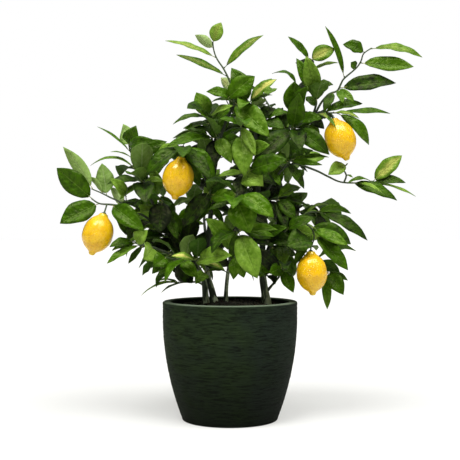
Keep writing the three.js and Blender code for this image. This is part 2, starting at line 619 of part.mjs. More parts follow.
// ---- materials --------------------------------------------------------------------------------------
const material = (color, roughness) => new THREE.MeshStandardMaterial({ color, roughness, metalness: 0 });
const POT_FINISH = material(0x222c1e, 0.8);
const SOIL_FINISH = material(0x1d1712, 0.95);
const BARK = material(0x5c6148, 0.85);
const FOLIAGE = material(0x3f6b1e, 0.4);
const RIND = material(0xf2c21c, 0.45);

// ---- assembly ---------------------------------------------------------------------------------------
const tree = new THREE.Group();

const wood = {};
const woodCut = [];
for (const [name, routes] of Object.entries(WOOD)) {
  const grow = (extra) => routes.map(([thick, thin, points], i) => {
    const sides = i ? BRANCH_SIDES : TRUNK_SIDES;
    return stem(points.map(place), thick, thin, sides, extra);
  }).reduce((a, b) => a.add(b));
  wood[name] = grow(0);
  woodCut.push(grow(GAP));
}
const pot = solid(turned(potProfile(), POT.sides));
const soil = soilSolid(woodCut);

const lemons = {};
for (const [name, { top, end }] of Object.entries(LEMONS)) {
  lemons[name] = lemonSolid(place(top), place(end));
}

// What has grown so far, each with its box and the shoot that it belongs to.
const grown = [];
const keep = (made, shoot = null, limb = null) => {
  grown.push({ made, shoot, limb, box: made.boundingBox() });
};
[...Object.values(wood), ...Object.values(lemons), pot, soil].forEach((made) => keep(made));

const stems = {};
for (const [name, parts] of Object.entries(SHOOTS)) {
  stems[name] = parts.map(({ along: route }, i) => {
    const thick = i ? TWIG.fork : TWIG.thick;
    return stem(route.map(place), thick, TWIG.thin, TWIG.sides);
  });
  for (const fruit of Object.values(LEMONS)) {
    if (fruit.shoot === name) {
      const from = along(parts[0].along.map(place), fruit.at).at;
      stems[name].push(stalkSolid(from, place(fruit.top), place(fruit.end)));
    }
  }
  stems[name].forEach((made) => keep(made, name));
}

const apart = (a, b) => [0, 1, 2].some((k) => a.min[k] > b.max[k] || b.min[k] > a.max[k]);
const meets = (a, b) => {
  const common = a.intersect(b);
  const empty = common.isEmpty();
  common.delete();
  return !empty;
};

// A leaf is clear if its swollen blade meets nothing. Leaves of its own shoot may meet it at their stalks.
function isClear(leaf, shoot) {
  const full = blade(leaf, 0, LEAF.swell);
  const limb = blade(leaf, LEAF.limbFrom, LEAF.swell / 3);
  const box = full.boundingBox();
  const hit = grown.some((other) => {
    if (apart(box, other.box)) return false;
    if (other.shoot !== shoot) return meets(full, other.made);
    return other.limb ? meets(limb, other.limb) : false;
  });
  full.delete();
  limb.delete();
  return !hit;
}

// Ways to set a leaf whose tip is given: at its own depth, then nearer or further, and turned a little.
const DEPTHS = [0, -9, 9, -18, 18, -28, 28, -40, 40];
const TURNS = [0, 22, -22];
function givenWays(points, [t, x, y, z, face, width, arch]) {
  const root = along(points, t).at;
  return DEPTHS.flatMap((depth) => TURNS.map((turn) => {
    const tip = place([x, y + depth, z]);
    const way = tip.clone().sub(root).normalize();
    const stations = width < BROAD ? FEW_STATIONS : STATIONS;
    return { root, tip, face: upperSide(way, face + turn), width, arch, stations };
  }));
}

// Ways to set a leaf by rule: the leaves go round the stem by the golden angle, and lean out and down.
const GOLDEN = 2.39996;
const TRIES = 16;
function ruledWays(points, k, count) {
  const ways = [];
  for (let n = 0; n < TRIES; n += 1) {
    const { at: root, way } = along(points, Math.min(1, (k + 0.25 + 0.75 * draw()) / count));
    const turn = k * GOLDEN + n * 1.1 + between(-0.5, 0.5);
    const lean = between(...RULE.lean);
    const reach = between(...RULE.reach);
    const face = between(...RULE.face);
    const side = new THREE.Vector3(0, 0, 1).cross(way);
    if (side.length() < 0.2) side.set(1, 0, 0);
    side.normalize();
    const out = side.clone().multiplyScalar(Math.cos(turn))
      .addScaledVector(side.clone().cross(way), Math.sin(turn));
    const aim = way.clone().multiplyScalar(Math.cos(lean)).addScaledVector(out, Math.sin(lean));
    aim.z -= RULE.droop;
    aim.normalize();
    const tip = root.clone().addScaledVector(aim, reach);
    const width = reach * between(...RULE.width);
    const arch = between(...RULE.arch);
    ways.push({ root, tip, face: upperSide(aim, face), width, arch, stations: FEW_STATIONS });
  }
  return ways;
}
const heart = ({ root, tip }) => root.clone().lerp(tip, LEAF.heart);
const inCrown = (leaf) => insideCrown(seen(leaf.tip)) && insideCrown(seen(heart(leaf)));

// Open places come first: those whose heart lies furthest from every other leaf's, where depth counts half.
const hearts = [];
const openness = (leaf) => {
  const here = heart(leaf);
  return Math.min(...hearts.map((h) => Math.hypot(h.x - here.x, (h.y - here.y) / 2, h.z - here.z)));
};
const openestFirst = (ways) => ways
  .map((way) => ({ way, room: openness(way) }))
  .sort((a, b) => b.room - a.room)
  .map(({ way }) => way);

const foliage = Object.fromEntries(Object.keys(SHOOTS).map((name) => [name, []]));
function settle(name, ways) {
  const leaf = ways.find((way) => isClear(way, name));
  if (!leaf) return;
  hearts.push(heart(leaf));
  const made = blade(leaf);
  foliage[name].push(made);
  keep(made, name, blade(leaf, LEAF.limbFrom));
}
for (const [name, parts] of Object.entries(SHOOTS)) {
  for (const { along: route, leaves = [] } of parts) {
    leaves.forEach((row) => settle(name, givenWays(route.map(place), row)));
  }
}
for (const [name, parts] of Object.entries(SHOOTS)) {
  for (const { along: route, more = 0 } of parts) {
    for (let k = 0; k < more; k += 1) {
      const ways = ruledWays(route.map(place), k, more);
      settle(name, openestFirst(ways.filter(inCrown)));
    }
  }
}

tree.add(mesh('pot', pot, POT_FINISH), mesh('soil', soil, SOIL_FINISH));
for (const [name, made] of Object.entries(wood)) tree.add(mesh(name, made, BARK));
for (const [name, made] of Object.entries(lemons)) tree.add(mesh(name, made, RIND));
for (const name of Object.keys(SHOOTS)) {
  const joined = [...stems[name], ...foliage[name]].reduce((a, b) => a.add(b));
  tree.add(mesh(name, whole(woodCut.reduce((made, cut) => made.subtract(cut), joined)), FOLIAGE));
}

export default tree;
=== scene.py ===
import math

import bmesh
import bpy
from mathutils import Euler, Matrix, Vector, bvhtree, kdtree, noise


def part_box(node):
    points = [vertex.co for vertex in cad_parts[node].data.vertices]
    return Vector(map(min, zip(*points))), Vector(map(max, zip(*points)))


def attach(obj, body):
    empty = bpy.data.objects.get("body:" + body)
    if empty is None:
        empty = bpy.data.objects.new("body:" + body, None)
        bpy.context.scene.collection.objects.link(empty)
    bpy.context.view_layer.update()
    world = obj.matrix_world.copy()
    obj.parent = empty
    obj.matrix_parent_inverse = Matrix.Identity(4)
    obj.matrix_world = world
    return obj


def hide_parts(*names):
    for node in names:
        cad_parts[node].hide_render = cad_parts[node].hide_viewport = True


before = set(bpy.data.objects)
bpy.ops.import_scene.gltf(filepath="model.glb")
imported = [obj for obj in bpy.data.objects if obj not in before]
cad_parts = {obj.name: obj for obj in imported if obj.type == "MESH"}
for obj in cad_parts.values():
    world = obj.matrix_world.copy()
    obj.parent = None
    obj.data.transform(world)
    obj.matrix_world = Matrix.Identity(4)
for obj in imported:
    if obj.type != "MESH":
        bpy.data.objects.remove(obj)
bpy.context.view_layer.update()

# ---- The camera ----
# A long lens stands level with the middle of the leaves, square to the front of the pot, and looks
# down by a third of a degree. The picture is square.
image_side = 460
focal_pixels = 996
camera_distance = 1.85
camera_height = 0.36
horizon_above_middle = 5

camera_data = bpy.data.cameras.new("camera")
camera_data.sensor_width = 36
camera_data.lens = focal_pixels / image_side * camera_data.sensor_width
camera_data.clip_end = 50
camera = bpy.data.objects.new("camera", camera_data)
camera.location = (0, -camera_distance, camera_height)
look_down = math.atan(horizon_above_middle / focal_pixels)
camera.rotation_euler = (math.pi / 2 - look_down, 0, 0)
bpy.context.collection.objects.link(camera)
bpy.context.scene.camera = camera

# ---- The floor ----
# A white studio sweep, lit from below as well as from above until it is plain white, so that it keeps
# only a wide pale pool of shadow round the pot.
floor_size = 40
floor_glow = 0.43
glow_colour = (1, 1, 0.96, 1)
floor_colour = (0.66, 0.66, 0.62, 1)
floor_colour_in_view = (0.34, 0.34, 0.335, 1)


def feed(tree, node, sockets):
    """Gives each named socket of a node its value, or links it to the socket that feeds it."""
    for name, value in sockets.items():
        if isinstance(value, bpy.types.NodeSocket):
            tree.links.new(value, node.inputs[name])
        else:
            node.inputs[name].default_value = value


def add_node(tree, kind, sockets=(), **settings):
    node = tree.nodes.new("ShaderNode" + kind)
    for name, value in settings.items():
        setattr(node, name, value)
    feed(tree, node, dict(sockets))
    return node


def new_finish(name):
    finish = bpy.data.materials.new(name)
    finish.use_nodes = True
    return finish


def dress(finish, sockets):
    """Gives a finish its colour, gloss, roughness and relief."""
    feed(finish.node_tree, finish.node_tree.nodes["Principled BSDF"], sockets)


def combine(tree, operation, *values, clamp=False):
    """Masks or heights added, multiplied or otherwise worked into one."""
    sockets = dict(enumerate(values))
    return add_node(tree, "Math", sockets, operation=operation, use_clamp=clamp).outputs["Value"]


def blend_colours(tree, share, first, second, kind="MIX"):
    """The first colour, with a share of the second laid over it."""
    sockets = {"Factor": share, "A": first, "B": second}
    return add_node(tree, "Mix", sockets, data_type="RGBA", blend_type=kind).outputs["Result"]


floor_finish = new_finish("white_floor")
floor_nodes = floor_finish.node_tree
floor_in_view = add_node(floor_nodes, "LightPath").outputs["Is Camera Ray"]
dress(floor_finish, {
    "Base Color": blend_colours(floor_nodes, floor_in_view, floor_colour, floor_colour_in_view),
    "Emission Strength": combine(floor_nodes, "MULTIPLY", floor_in_view, floor_glow),
    "Emission Color": glow_colour,
    "Roughness": 0.9,
    "Specular IOR Level": 0.1,
})

floor_mesh = bmesh.new()
bmesh.ops.create_grid(floor_mesh, x_segments=1, y_segments=1, size=floor_size / 2)
floor_data = bpy.data.meshes.new("floor")
floor_mesh.to_mesh(floor_data)
floor_mesh.free()
floor_data.materials.append(floor_finish)
floor = bpy.data.objects.new("floor", floor_data)
bpy.context.collection.objects.link(floor)

# ---- The studio lights ----
# Two broad soft lamps hang high in front, one to each side, with a weaker one overhead, in a dim room
# whose far wall is seen as plain white.
room_light = 0.17
room_colour = (1, 1, 0.9, 1)
wall_light = 1
wall_colour = (1, 1, 1, 1)

# A lamp is (the way to it, its strength, its softness in degrees).
lamps = {
    "key": ((-0.5, -0.75, 1.8), 3.2, 28),
    "fill": ((0.66, -0.75, 1.8), 2.8, 34),
    "top": ((0.1, 0.5, 2.0), 0.7, 50),
}


def rescale(tree, value, low, high, to_low=0, to_high=1, smooth=False):
    """A mask or height whose stretch from low to high is spread from to_low to to_high."""
    sockets = {"Value": value, "From Min": low, "From Max": high, "To Min": to_low, "To Max": to_high}
    kind = "SMOOTHSTEP" if smooth else "LINEAR"
    return add_node(tree, "MapRange", sockets, interpolation_type=kind).outputs["Result"]


for name, (toward, strength, softness) in lamps.items():
    lamp_data = bpy.data.lights.new(name, "SUN")
    lamp_data.energy = strength
    lamp_data.angle = math.radians(softness)
    lamp = bpy.data.objects.new(name, lamp_data)
    lamp.rotation_euler = Vector(toward).to_track_quat("Z", "Y").to_euler()
    bpy.context.collection.objects.link(lamp)

room = bpy.data.worlds.new("white_room")
room.use_nodes = True
room_nodes = room.node_tree
wall_in_view = add_node(room_nodes, "LightPath").outputs["Is Camera Ray"]
feed(room_nodes, room_nodes.nodes["Background"], {
    "Color": blend_colours(room_nodes, wall_in_view, room_colour, wall_colour),
    "Strength": rescale(room_nodes, wall_in_view, 0, 1, room_light, wall_light),
})
bpy.context.scene.world = room
bpy.context.scene.view_settings.view_transform = "Standard"

# ---- The pot ----
# A heavy round planter cast in one piece, very dark green and matt, open at the top with a smooth flat
# lip. Its outside was combed while soft, which left fine uneven lines all the way round it.
pot_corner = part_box("pot")[1]
rim_radius = pot_corner.x
pot_height = pot_corner.z
foot_radius = 0.088
belly_height = 0.190
lip_width = 0.016
edge_round = 0.0035
pot_floor_height = 0.014
pot_sides = 144
inside_rows = 12
smooth_rim = 0.006
near_wall = 1e-4
same_spot = 1e-6

# The combed lines: how deep they are, and how fast each kind of unevenness changes along each axis.
comb_step = 0.0011
comb_depth = 0.00055
comb_middle = 0.5
sway_scale = (9, 9, 40)
sway_share = 1.4
line_scale = (14, 14, 330)
line_share = 0.8
scratch_scale = (40, 40, 520)
scratch_share = 0.5
fine_comb_scale = (44, 44, 380)

pot_greens = ((0.25, (0.0090, 0.0148, 0.0092)), (0.75, (0.0122, 0.0222, 0.0070)))
lip_highlight_colour = (0.105, 0.135, 0.090, 1)


def pot_radius(z):
    return rim_radius - (rim_radius - foot_radius) * max(0, 1 - z / belly_height) ** 2


def inside_radius(z):
    return pot_radius(z) - lip_width


def quarter_round(centre_r, centre_z, start, steps=5):
    """Points of a rounded edge, as a quarter turn from the start angle in degrees."""
    turns = [math.radians(start + 90 * i / steps) for i in range(steps + 1)]
    return [(centre_r + edge_round * math.cos(a), centre_z + edge_round * math.sin(a)) for a in turns]


def turn_section(mesh, section, sides):
    """A section that runs from the axis out and back to it, turned once round the upright axis."""
    points = [mesh.verts.new((r, 0, z)) for r, z in section]
    lines = [mesh.edges.new(pair) for pair in zip(points, points[1:])]
    bmesh.ops.spin(
        mesh, geom=points + lines, cent=(0, 0, 0), axis=(0, 0, 1),
        angle=math.tau, steps=sides, use_merge=True,
    )
    bmesh.ops.remove_doubles(mesh, verts=mesh.verts, dist=same_spot)
    bmesh.ops.recalc_face_normals(mesh, faces=mesh.faces)


def unevenness(spot, scale, shift=(0, 0, 0)):
    """Smooth noise between -1 and 1, stretched by its own scale along each axis."""
    return noise.noise(Vector([c * s + d for c, s, d in zip(spot, scale, shift)]))


def add_piece(name, mesh, finishes, nodes):
    """Puts a finished mesh in the scene in place of the plain nodes that it stands for."""
    data = bpy.data.meshes.new(name)
    mesh.to_mesh(data)
    mesh.free()
    for finish in finishes:
        data.materials.append(finish)
    data.shade_smooth()
    piece = bpy.data.objects.new(name, data)
    bpy.context.collection.objects.link(piece)
    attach(piece, "root")
    if nodes:
        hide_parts(*nodes)
    return piece


combed_rows = round((pot_height - 2 * edge_round) / comb_step)
outside_heights = [edge_round + (i + 1) * comb_step for i in range(combed_rows - 1)]
inside_height = pot_height - edge_round - pot_floor_height
inside_heights = [pot_floor_height + inside_height * i / inside_rows for i in range(inside_rows)]
lip_inner = rim_radius - lip_width
pot_section = [(0, 0), (foot_radius * 0.5, 0)]
pot_section += quarter_round(pot_radius(edge_round) - edge_round, edge_round, -90)
pot_section += [(pot_radius(z), z) for z in outside_heights]
pot_section += quarter_round(rim_radius - edge_round, pot_height - edge_round, 0)
pot_section += quarter_round(lip_inner + edge_round, pot_height - edge_round, 90)
pot_section += [(inside_radius(z), z) for z in reversed(inside_heights)]
pot_section += [(0, pot_floor_height)]

pot_mesh = bmesh.new()
inside_layer = pot_mesh.verts.layers.float.new("inside")
turn_section(pot_mesh, pot_section, pot_sides)
for point in pot_mesh.verts:
    radius = point.co.xy.length
    point[inside_layer] = point.co.z > edge_round and radius < inside_radius(point.co.z) + near_wall
    combed = point.co.z < pot_height - smooth_rim and point.co.z > edge_round
    if combed and radius > inside_radius(point.co.z) + lip_width / 2:
        sway = unevenness(point.co, sway_scale)
        line = unevenness(point.co, line_scale, (0, 0, sway * sway_share))
        scratch = unevenness(point.co, scratch_scale, (9, 0, 0))
        depth = comb_depth * (comb_middle + line_share * line + scratch_share * scratch)
        point.co.xy *= 1 - max(0, depth) / radius


def surface_place(tree):
    """Where on the object a point of the surface is, in metres."""
    return add_node(tree, "TexCoord").outputs["Object"]


def axes(tree, vector):
    return add_node(tree, "SeparateXYZ", {"Vector": vector}).outputs


def facing(tree):
    """The way that the surface looks, along each axis."""
    return axes(tree, add_node(tree, "NewGeometry").outputs["Normal"])


def painted(tree, layer):
    """A mask that was stored in the mesh."""
    return add_node(tree, "Attribute", attribute_name=layer).outputs["Fac"]


def noise_pattern(tree, place, scale, detail=2, roughness=0.5, distortion=0):
    """A cloudy mask. A scale of three numbers stretches it along the axes."""
    if isinstance(scale, tuple):
        place = add_node(tree, "Mapping", {"Vector": place, "Scale": scale}).outputs["Vector"]
        scale = 1
    sockets = {"Vector": place, "Scale": scale, "Detail": detail}
    sockets |= {"Roughness": roughness, "Distortion": distortion}
    return add_node(tree, "TexNoise", sockets).outputs["Fac"]


def tinted(tree, mask, stops):
    """A mask turned into colours. Each stop is a value of the mask and the colour there."""
    ramp = add_node(tree, "ValToRGB", {"Fac": mask})
    elements = ramp.color_ramp.elements
    while len(elements) < len(stops):
        elements.new(1)
    for element, (value, colour) in zip(elements, stops):
        element.position = value
        element.color = (*colour, 1)
    return ramp.outputs["Color"]


def relief(tree, height, strength, depth):
    """Fine bumps, too small for the mesh."""
    sockets = {"Height": height, "Strength": strength, "Distance": depth}
    return add_node(tree, "Bump", sockets).outputs["Normal"]


pot_finish = new_finish("combed_pot")
pot_nodes = pot_finish.node_tree
pot_place = surface_place(pot_nodes)
pot_spot = axes(pot_nodes, pot_place)
comb_lines = noise_pattern(pot_nodes, pot_place, fine_comb_scale, detail=6, roughness=0.66, distortion=0.9)
pot_patches = noise_pattern(pot_nodes, pot_place, scale=30, detail=5)
pot_grain = noise_pattern(pot_nodes, pot_place, scale=600, detail=3)

# Painted light and shade: the colour is painted greener on the pot's left side and darker and greyer on its
# right, and painted shade darkens it towards its foot and on its inner wall.
painted_side_shade = rescale(pot_nodes, pot_spot["X"], -0.01, 0.10, 0.08, -0.3, smooth=True)
pot_green = tinted(pot_nodes, combine(pot_nodes, "ADD", pot_patches, painted_side_shade), pot_greens)
painted_foot_shade = rescale(pot_nodes, pot_spot["Z"], 0, 0.16, 0.28, 1)
painted_inner_wall_shade = rescale(pot_nodes, painted(pot_nodes, "inside"), 0, 1, 1, 0.35)
comb_shade = rescale(pot_nodes, comb_lines, 0.38, 0.56, 0.38, 1.16, smooth=True)
# The painted shade at the foot and on the inner wall, together with the combed lines.
combing_and_painted_shade = combine(pot_nodes, "MULTIPLY", painted_foot_shade, painted_inner_wall_shade)
combing_and_painted_shade = combine(pot_nodes, "MULTIPLY", comb_shade, combing_and_painted_shade)
pot_colour = blend_colours(pot_nodes, 1, pot_green, combing_and_painted_shade, "MULTIPLY")

# A painted highlight makes the lip paler where it faces up to the lamps.
near_top = rescale(pot_nodes, pot_spot["Z"], pot_height - smooth_rim, pot_height - edge_round / 2)
lip_flat = rescale(pot_nodes, facing(pot_nodes)["Z"], 0.35, 0.9, smooth=True)
painted_lip_highlight = combine(pot_nodes, "MULTIPLY", lip_flat, near_top, clamp=True)
comb_relief = combine(pot_nodes, "MULTIPLY_ADD", pot_grain, 0.25, comb_lines)
dress(pot_finish, {
    "Base Color": blend_colours(pot_nodes, painted_lip_highlight, pot_colour, lip_highlight_colour),
    "Roughness": rescale(pot_nodes, pot_patches, 0, 1, 0.62, 0.88),
    "Specular IOR Level": 0.06,
    "Normal": relief(pot_nodes, comb_relief, 0.9, 0.0013),
})
add_piece("planter", pot_mesh, [pot_finish], ["pot"])

# ---- The soil ----
# Dark, moist potting soil, heaped a little towards the middle, with loose crumbs and bits of bark on it.
soil_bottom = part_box("soil")[0].z
soil_gap = 0.0004
soil_edge = lip_inner - soil_gap
soil_wall_height = pot_height - 0.010
soil_mound = 0.008
soil_rings = 46
soil_rows = 8
soil_sides = 128
lump_height = 0.0016
lump_pitch = (310, 270, 50)
clod_height = 0.0022
clod_scale = (70, 70, 1)
small_clod_scale = (190, 190, 1)
crumb_count = 520
crumb_reach = 0.975
crumb_size = (0.0012, 0.0034)
crumb_stretch = (1, 0.8, 0.7)
crumb_dents = 0.35
crumb_dent_scale = 900
bark_chip_count = 60
chip_stretch = (1.9, 0.9, 0.45)
chip_tilt = 0.06
soil_seed = 7


def soil_height(x, y):
    share = min(1, math.hypot(x, y) / soil_edge)
    across, back, slant = lump_pitch
    lumps = lump_height * math.sin(x * across + 2) * math.cos(y * back + x * slant)
    clods = clod_height * unevenness((x, y, 3), clod_scale)
    clods += lump_height * unevenness((x, y, 8), small_clod_scale)
    return soil_wall_height + soil_mound * (1 - share**2) + (lumps + clods) * (1 - share**6)


soil_depth = soil_wall_height - soil_bottom
soil_depths = [soil_bottom + soil_depth * i / soil_rows for i in range(soil_rows - 1, -1, -1)]
soil_section = [(soil_edge * i / soil_rings, soil_wall_height) for i in range(soil_rings + 1)]
soil_section += [(inside_radius(z) - soil_gap, z) for z in soil_depths]
soil_section += [(0, soil_bottom)]

soil_mesh = bmesh.new()
turn_section(soil_mesh, soil_section, soil_sides)
for point in soil_mesh.verts:
    if point.co.z > soil_wall_height - same_spot:
        point.co.z = soil_height(point.co.x, point.co.y)

noise.seed_set(soil_seed)
for i in range(crumb_count + bark_chip_count):
    chip = i >= crumb_count
    reach = soil_edge * crumb_reach * math.sqrt(noise.random())
    turn = math.tau * noise.random()
    spot = Vector((reach * math.cos(turn), reach * math.sin(turn), 0))
    size = crumb_size[0] + (crumb_size[1] - crumb_size[0]) * noise.random() ** 2
    spot.z = soil_height(spot.x, spot.y) + size / 4
    tilts = (chip_tilt, chip_tilt, 1) if chip else (1, 1, 1)
    lie = Euler([math.tau * noise.random() * tilt for tilt in tilts]).to_matrix().to_4x4()
    stretch = Matrix.Diagonal((*(chip_stretch if chip else crumb_stretch), 1))
    shape = Matrix.Translation(spot) @ lie @ stretch
    crumb = bmesh.ops.create_icosphere(soil_mesh, subdivisions=1, radius=size, matrix=shape)
    for point in crumb["verts"]:
        point.co += (point.co - spot) * crumb_dents * noise.noise(point.co * crumb_dent_scale)
    if chip:
        for face in {face for point in crumb["verts"] for face in point.link_faces}:
            face.material_index = 1


def soil_material(name, dark, pale, roughness):
    finish = new_finish(name)
    nodes = finish.node_tree
    crumbs = noise_pattern(nodes, surface_place(nodes), scale=420, detail=6)
    dress(finish, {
        "Base Color": tinted(nodes, crumbs, ((0.36, dark), (0.7, pale))),
        "Roughness": roughness,
        "Specular IOR Level": 0.2,
        "Normal": relief(nodes, crumbs, 0.9, 0.0012),
    })
    return finish


soil_finish = soil_material("potting_soil", (0.0032, 0.0036, 0.0022), (0.032, 0.030, 0.017), 0.92)
chip_finish = soil_material("bark_chips", (0.012, 0.007, 0.004), (0.075, 0.042, 0.022), 0.8)
add_piece("potting_soil", soil_mesh, [soil_finish, chip_finish], ["soil"])

# ---- The woody stems ----
# Four stems come out of the soil and fork into thin branches. The bark is grey-green and faintly ridged
# at the foot, with painted shade on its left side and painted light on its right, and darker and smoother
# higher up. It swells at the foot and wherever a branch leaves.
stem_sides = 14
branch_sides = 10
route_step = 0.007
near_axis = 0.3
root_flare = 0.45
flare_reach = 0.011
branch_collar = (1.25, 1.15, 1.05)
bark_swell = 0.09
swell_scale = 60

# A branch is (radius where it starts, radius where it ends, places along it), in millimetres. A place is
# (across, depth, up), as the plant looks from the front.
wood = {
    "trunk_left": [
        (6.2, 2.4, [
            (-45, -10, 150), (-45, -10, 205), (-46, -10, 235), (-50, -8, 262), (-66, -4, 290),
            (-92, 0, 322), (-120, 0, 356), (-140, 0, 392), (-154, 0, 428), (-161, 0, 442),
        ]),
        (3, 1.9, [(-92, 0, 322), (-125, -12, 352), (-165, -22, 380), (-200, -28, 395)]),
        (2.8, 1.8, [(-56, -7, 272), (-80, -22, 288), (-108, -34, 304), (-135, -42, 316)]),
        (3, 1.8, [(-66, -4, 290), (-82, 35, 318), (-104, 75, 352), (-120, 110, 392)]),
        (2.4, 1.7, [(-48, -9, 248), (-60, 15, 254), (-72, 28, 254)]),
    ],
    "trunk_inner": [
        (6.6, 2.4, [
            (-27, -6, 150), (-28, -6, 205), (-33, 0, 235), (-41, 10, 265), (-45, 16, 300), (-40, 16, 340),
            (-36, 14, 380), (-34, 12, 420), (-27, 8, 470), (-18, 2, 520), (-4, -4, 560), (8, -6, 582),
        ]),
        (2.8, 1.9, [(-34, 12, 420), (-48, -14, 452), (-64, -32, 482), (-76, -40, 497)]),
        (2.4, 1.8, [(-27, 8, 470), (-32, 14, 505), (-34, 12, 532)]),
        (3, 1.8, [(-42, 16, 325), (-48, 60, 370), (-44, 105, 430), (-38, 130, 480)]),
        (2.4, 1.7, [(-44, 15, 290), (-50, -18, 298), (-56, -42, 298)]),
    ],
    "trunk_middle": [
        (4.2, 2, [
            (-8, 2, 150), (-8, 2, 205), (-7, 2, 240), (-4, 2, 270), (2, -4, 310), (8, -12, 350),
            (14, -22, 400), (18, -28, 450), (21, -30, 490), (22, -30, 515),
        ]),
        (2.4, 1.8, [(5, -8, 330), (10, -42, 352), (12, -66, 376), (12, -80, 396)]),
        (2.2, 1.6, [(-3, 0, 278), (4, -22, 292), (9, -36, 300)]),
        (2.6, 1.7, [(2, -4, 310), (8, 40, 345), (14, 85, 385), (16, 115, 430)]),
        (2.2, 1.7, [(10, -42, 352), (13, -60, 352), (13, -72, 350)]),
    ],
    "trunk_right": [
        (8.2, 2.4, [
            (66, -2, 150), (67, -2, 205), (66, -2, 228), (61, -2, 262), (60, 0, 300), (60, 2, 345),
            (55, 6, 400), (51, 8, 450), (49, 10, 500), (46, 8, 545), (40, 4, 574),
        ]),
        (4, 2.2, [
            (52, 8, 440), (72, 4, 478), (97, -2, 515), (122, -4, 542), (146, -2, 557), (160, 0, 570),
        ]),
        (2.8, 1.9, [(55, 6, 400), (78, -6, 438), (100, -12, 466), (122, -16, 475)]),
        (3.2, 2, [(60, 0, 300), (82, -8, 328), (106, -14, 352), (126, -18, 367)]),
        (3, 1.8, [(66, -2, 234), (78, -8, 248), (90, -12, 262)]),
        (3.2, 1.8, [(60, 0, 290), (76, 45, 330), (94, 88, 380), (104, 112, 425)]),
        (2.6, 1.8, [(49, 10, 490), (62, 52, 530), (80, 82, 570)]),
    ],
}


def place_on_plant(spot):
    """A place as it looks from the front, in millimetres, turned into the real place in metres."""
    x, depth, z = spot
    nearness = 1 + depth / (camera_distance * 1000)
    eye = camera_height * 1000
    return Vector((x * nearness, depth, eye + (z - eye) * nearness)) / 1000


def smooth_route(points, step):
    """A route's corners eased into one curve through the same points."""
    route = []
    for i in range(len(points) - 1):
        before = points[max(i - 1, 0)]
        after = points[min(i + 2, len(points) - 1)]
        start, end = points[i], points[i + 1]
        ease_in = (end - before) * 0.5
        ease_out = (after - start) * 0.5
        pieces = max(2, round((end - start).length / step))
        for k in range(pieces):
            t = k / pieces
            route.append(
                start * (2 * t**3 - 3 * t**2 + 1) + end * (3 * t**2 - 2 * t**3)
                + ease_in * (t**3 - 2 * t**2 + t) + ease_out * (t**3 - t**2)
            )
    return route + [points[-1]]


def grow_stem(mesh, route, radii, sides, material=0):
    """A ring is carried along the route, and its last opening is drawn to a point."""
    ring = bmesh.ops.create_circle(mesh, segments=sides, radius=1, cap_ends=False)["verts"]
    first_way = (route[1] - route[0]).normalized()
    side = Vector((1, 0, 0)).cross(first_way)
    if side.length < near_axis:
        side = Vector((0, 1, 0)).cross(first_way)
    faces = bmesh.ops.contextual_create(mesh, geom=ring)["faces"]
    for i, spot in enumerate(route):
        way = (route[min(i + 1, len(route) - 1)] - route[max(i - 1, 0)]).normalized()
        side = (side - way * side.dot(way)).normalized()
        if i:
            edges = {edge for point in ring for edge in point.link_edges if edge.other_vert(point) in ring}
            made = bmesh.ops.extrude_edge_only(mesh, edges=list(edges))["geom"]
            ends = {point for point in made if isinstance(point, bmesh.types.BMVert)}
            ring = [next(e.other_vert(p) for e in p.link_edges if e.other_vert(p) in ends) for p in ring]
            faces += [face for face in made if isinstance(face, bmesh.types.BMFace)]
        for k, point in enumerate(ring):
            turn = math.tau * k / sides
            point.co = spot + (side * math.cos(turn) + way.cross(side) * math.sin(turn)) * radii[i]
    tip = bmesh.ops.poke(mesh, faces=bmesh.ops.contextual_create(mesh, geom=ring)["faces"])
    for point in tip["verts"]:
        point.co += way * radii[-1]
    for face in faces + tip["faces"]:
        face.material_index = material


bark_finish = new_finish("bark")
bark_nodes = bark_finish.node_tree
bark_place = surface_place(bark_nodes)
bark_ridges = noise_pattern(bark_nodes, bark_place, scale=(520, 520, 110), detail=5)
bark_streaks = noise_pattern(bark_nodes, bark_place, scale=(110, 110, 22), detail=4)
# Pale streaks, with painted shade on the side that faces left and painted light on the side that faces
# right.
bark_streaks_and_painted_side_light = combine(bark_nodes, "MULTIPLY_ADD", facing(bark_nodes)["X"], 0.13, bark_streaks)
old_bark = tinted(bark_nodes, bark_streaks_and_painted_side_light, ((0.42, (0.014, 0.022, 0.007)), (0.54, (0.420, 0.490, 0.310))))
young_bark = tinted(bark_nodes, bark_ridges, ((0.3, (0.007, 0.012, 0.005)), (0.72, (0.034, 0.048, 0.020))))
bark_youth = rescale(bark_nodes, axes(bark_nodes, bark_place)["Z"], pot_height, pot_height + 0.1)
dress(bark_finish, {
    "Base Color": blend_colours(bark_nodes, bark_youth, old_bark, young_bark),
    "Roughness": rescale(bark_nodes, bark_ridges, 0, 1, 0.55, 0.85),
    "Specular IOR Level": 0.35,
    "Normal": relief(bark_nodes, bark_ridges, 0.7, 0.0006),
})

for name, branches in wood.items():
    stem_mesh = bmesh.new()
    for order, (thick, thin, points) in enumerate(branches):
        route = smooth_route([place_on_plant(point) for point in points], route_step)
        radii = []
        for i, spot in enumerate(route):
            radius = (thick + (thin - thick) * i / (len(route) - 1)) / 1000
            above_soil = max(0, spot.z - soil_wall_height - soil_mound)
            if order == 0:
                radius *= 1 + root_flare * math.exp(-above_soil / flare_reach)
            elif i < len(branch_collar):
                radius *= branch_collar[i]
            radii.append(radius * (1 + bark_swell * noise.noise(spot * swell_scale)))
        grow_stem(stem_mesh, route, radii, branch_sides if order else stem_sides)
    bmesh.ops.recalc_face_normals(stem_mesh, faces=stem_mesh.faces)
    add_piece(name.replace("trunk", "stem"), stem_mesh, [bark_finish], [name])

# ---- The fruit ----
# Four ripe lemons. The rind is waxy yellow, pored and faintly dented, with a short neck at the stalk, a
# nipple at the other end, and a slightly greener tint near both.
lemon_radius = 0.0278
lemon_sides = 56
lemon_step = 0.0016
lemon_dents = 0.0007
dent_scale = 90
neck_green = 0.75
neck_reach = 0.09
nipple_green = 0.6
nipple_reach = 0.07

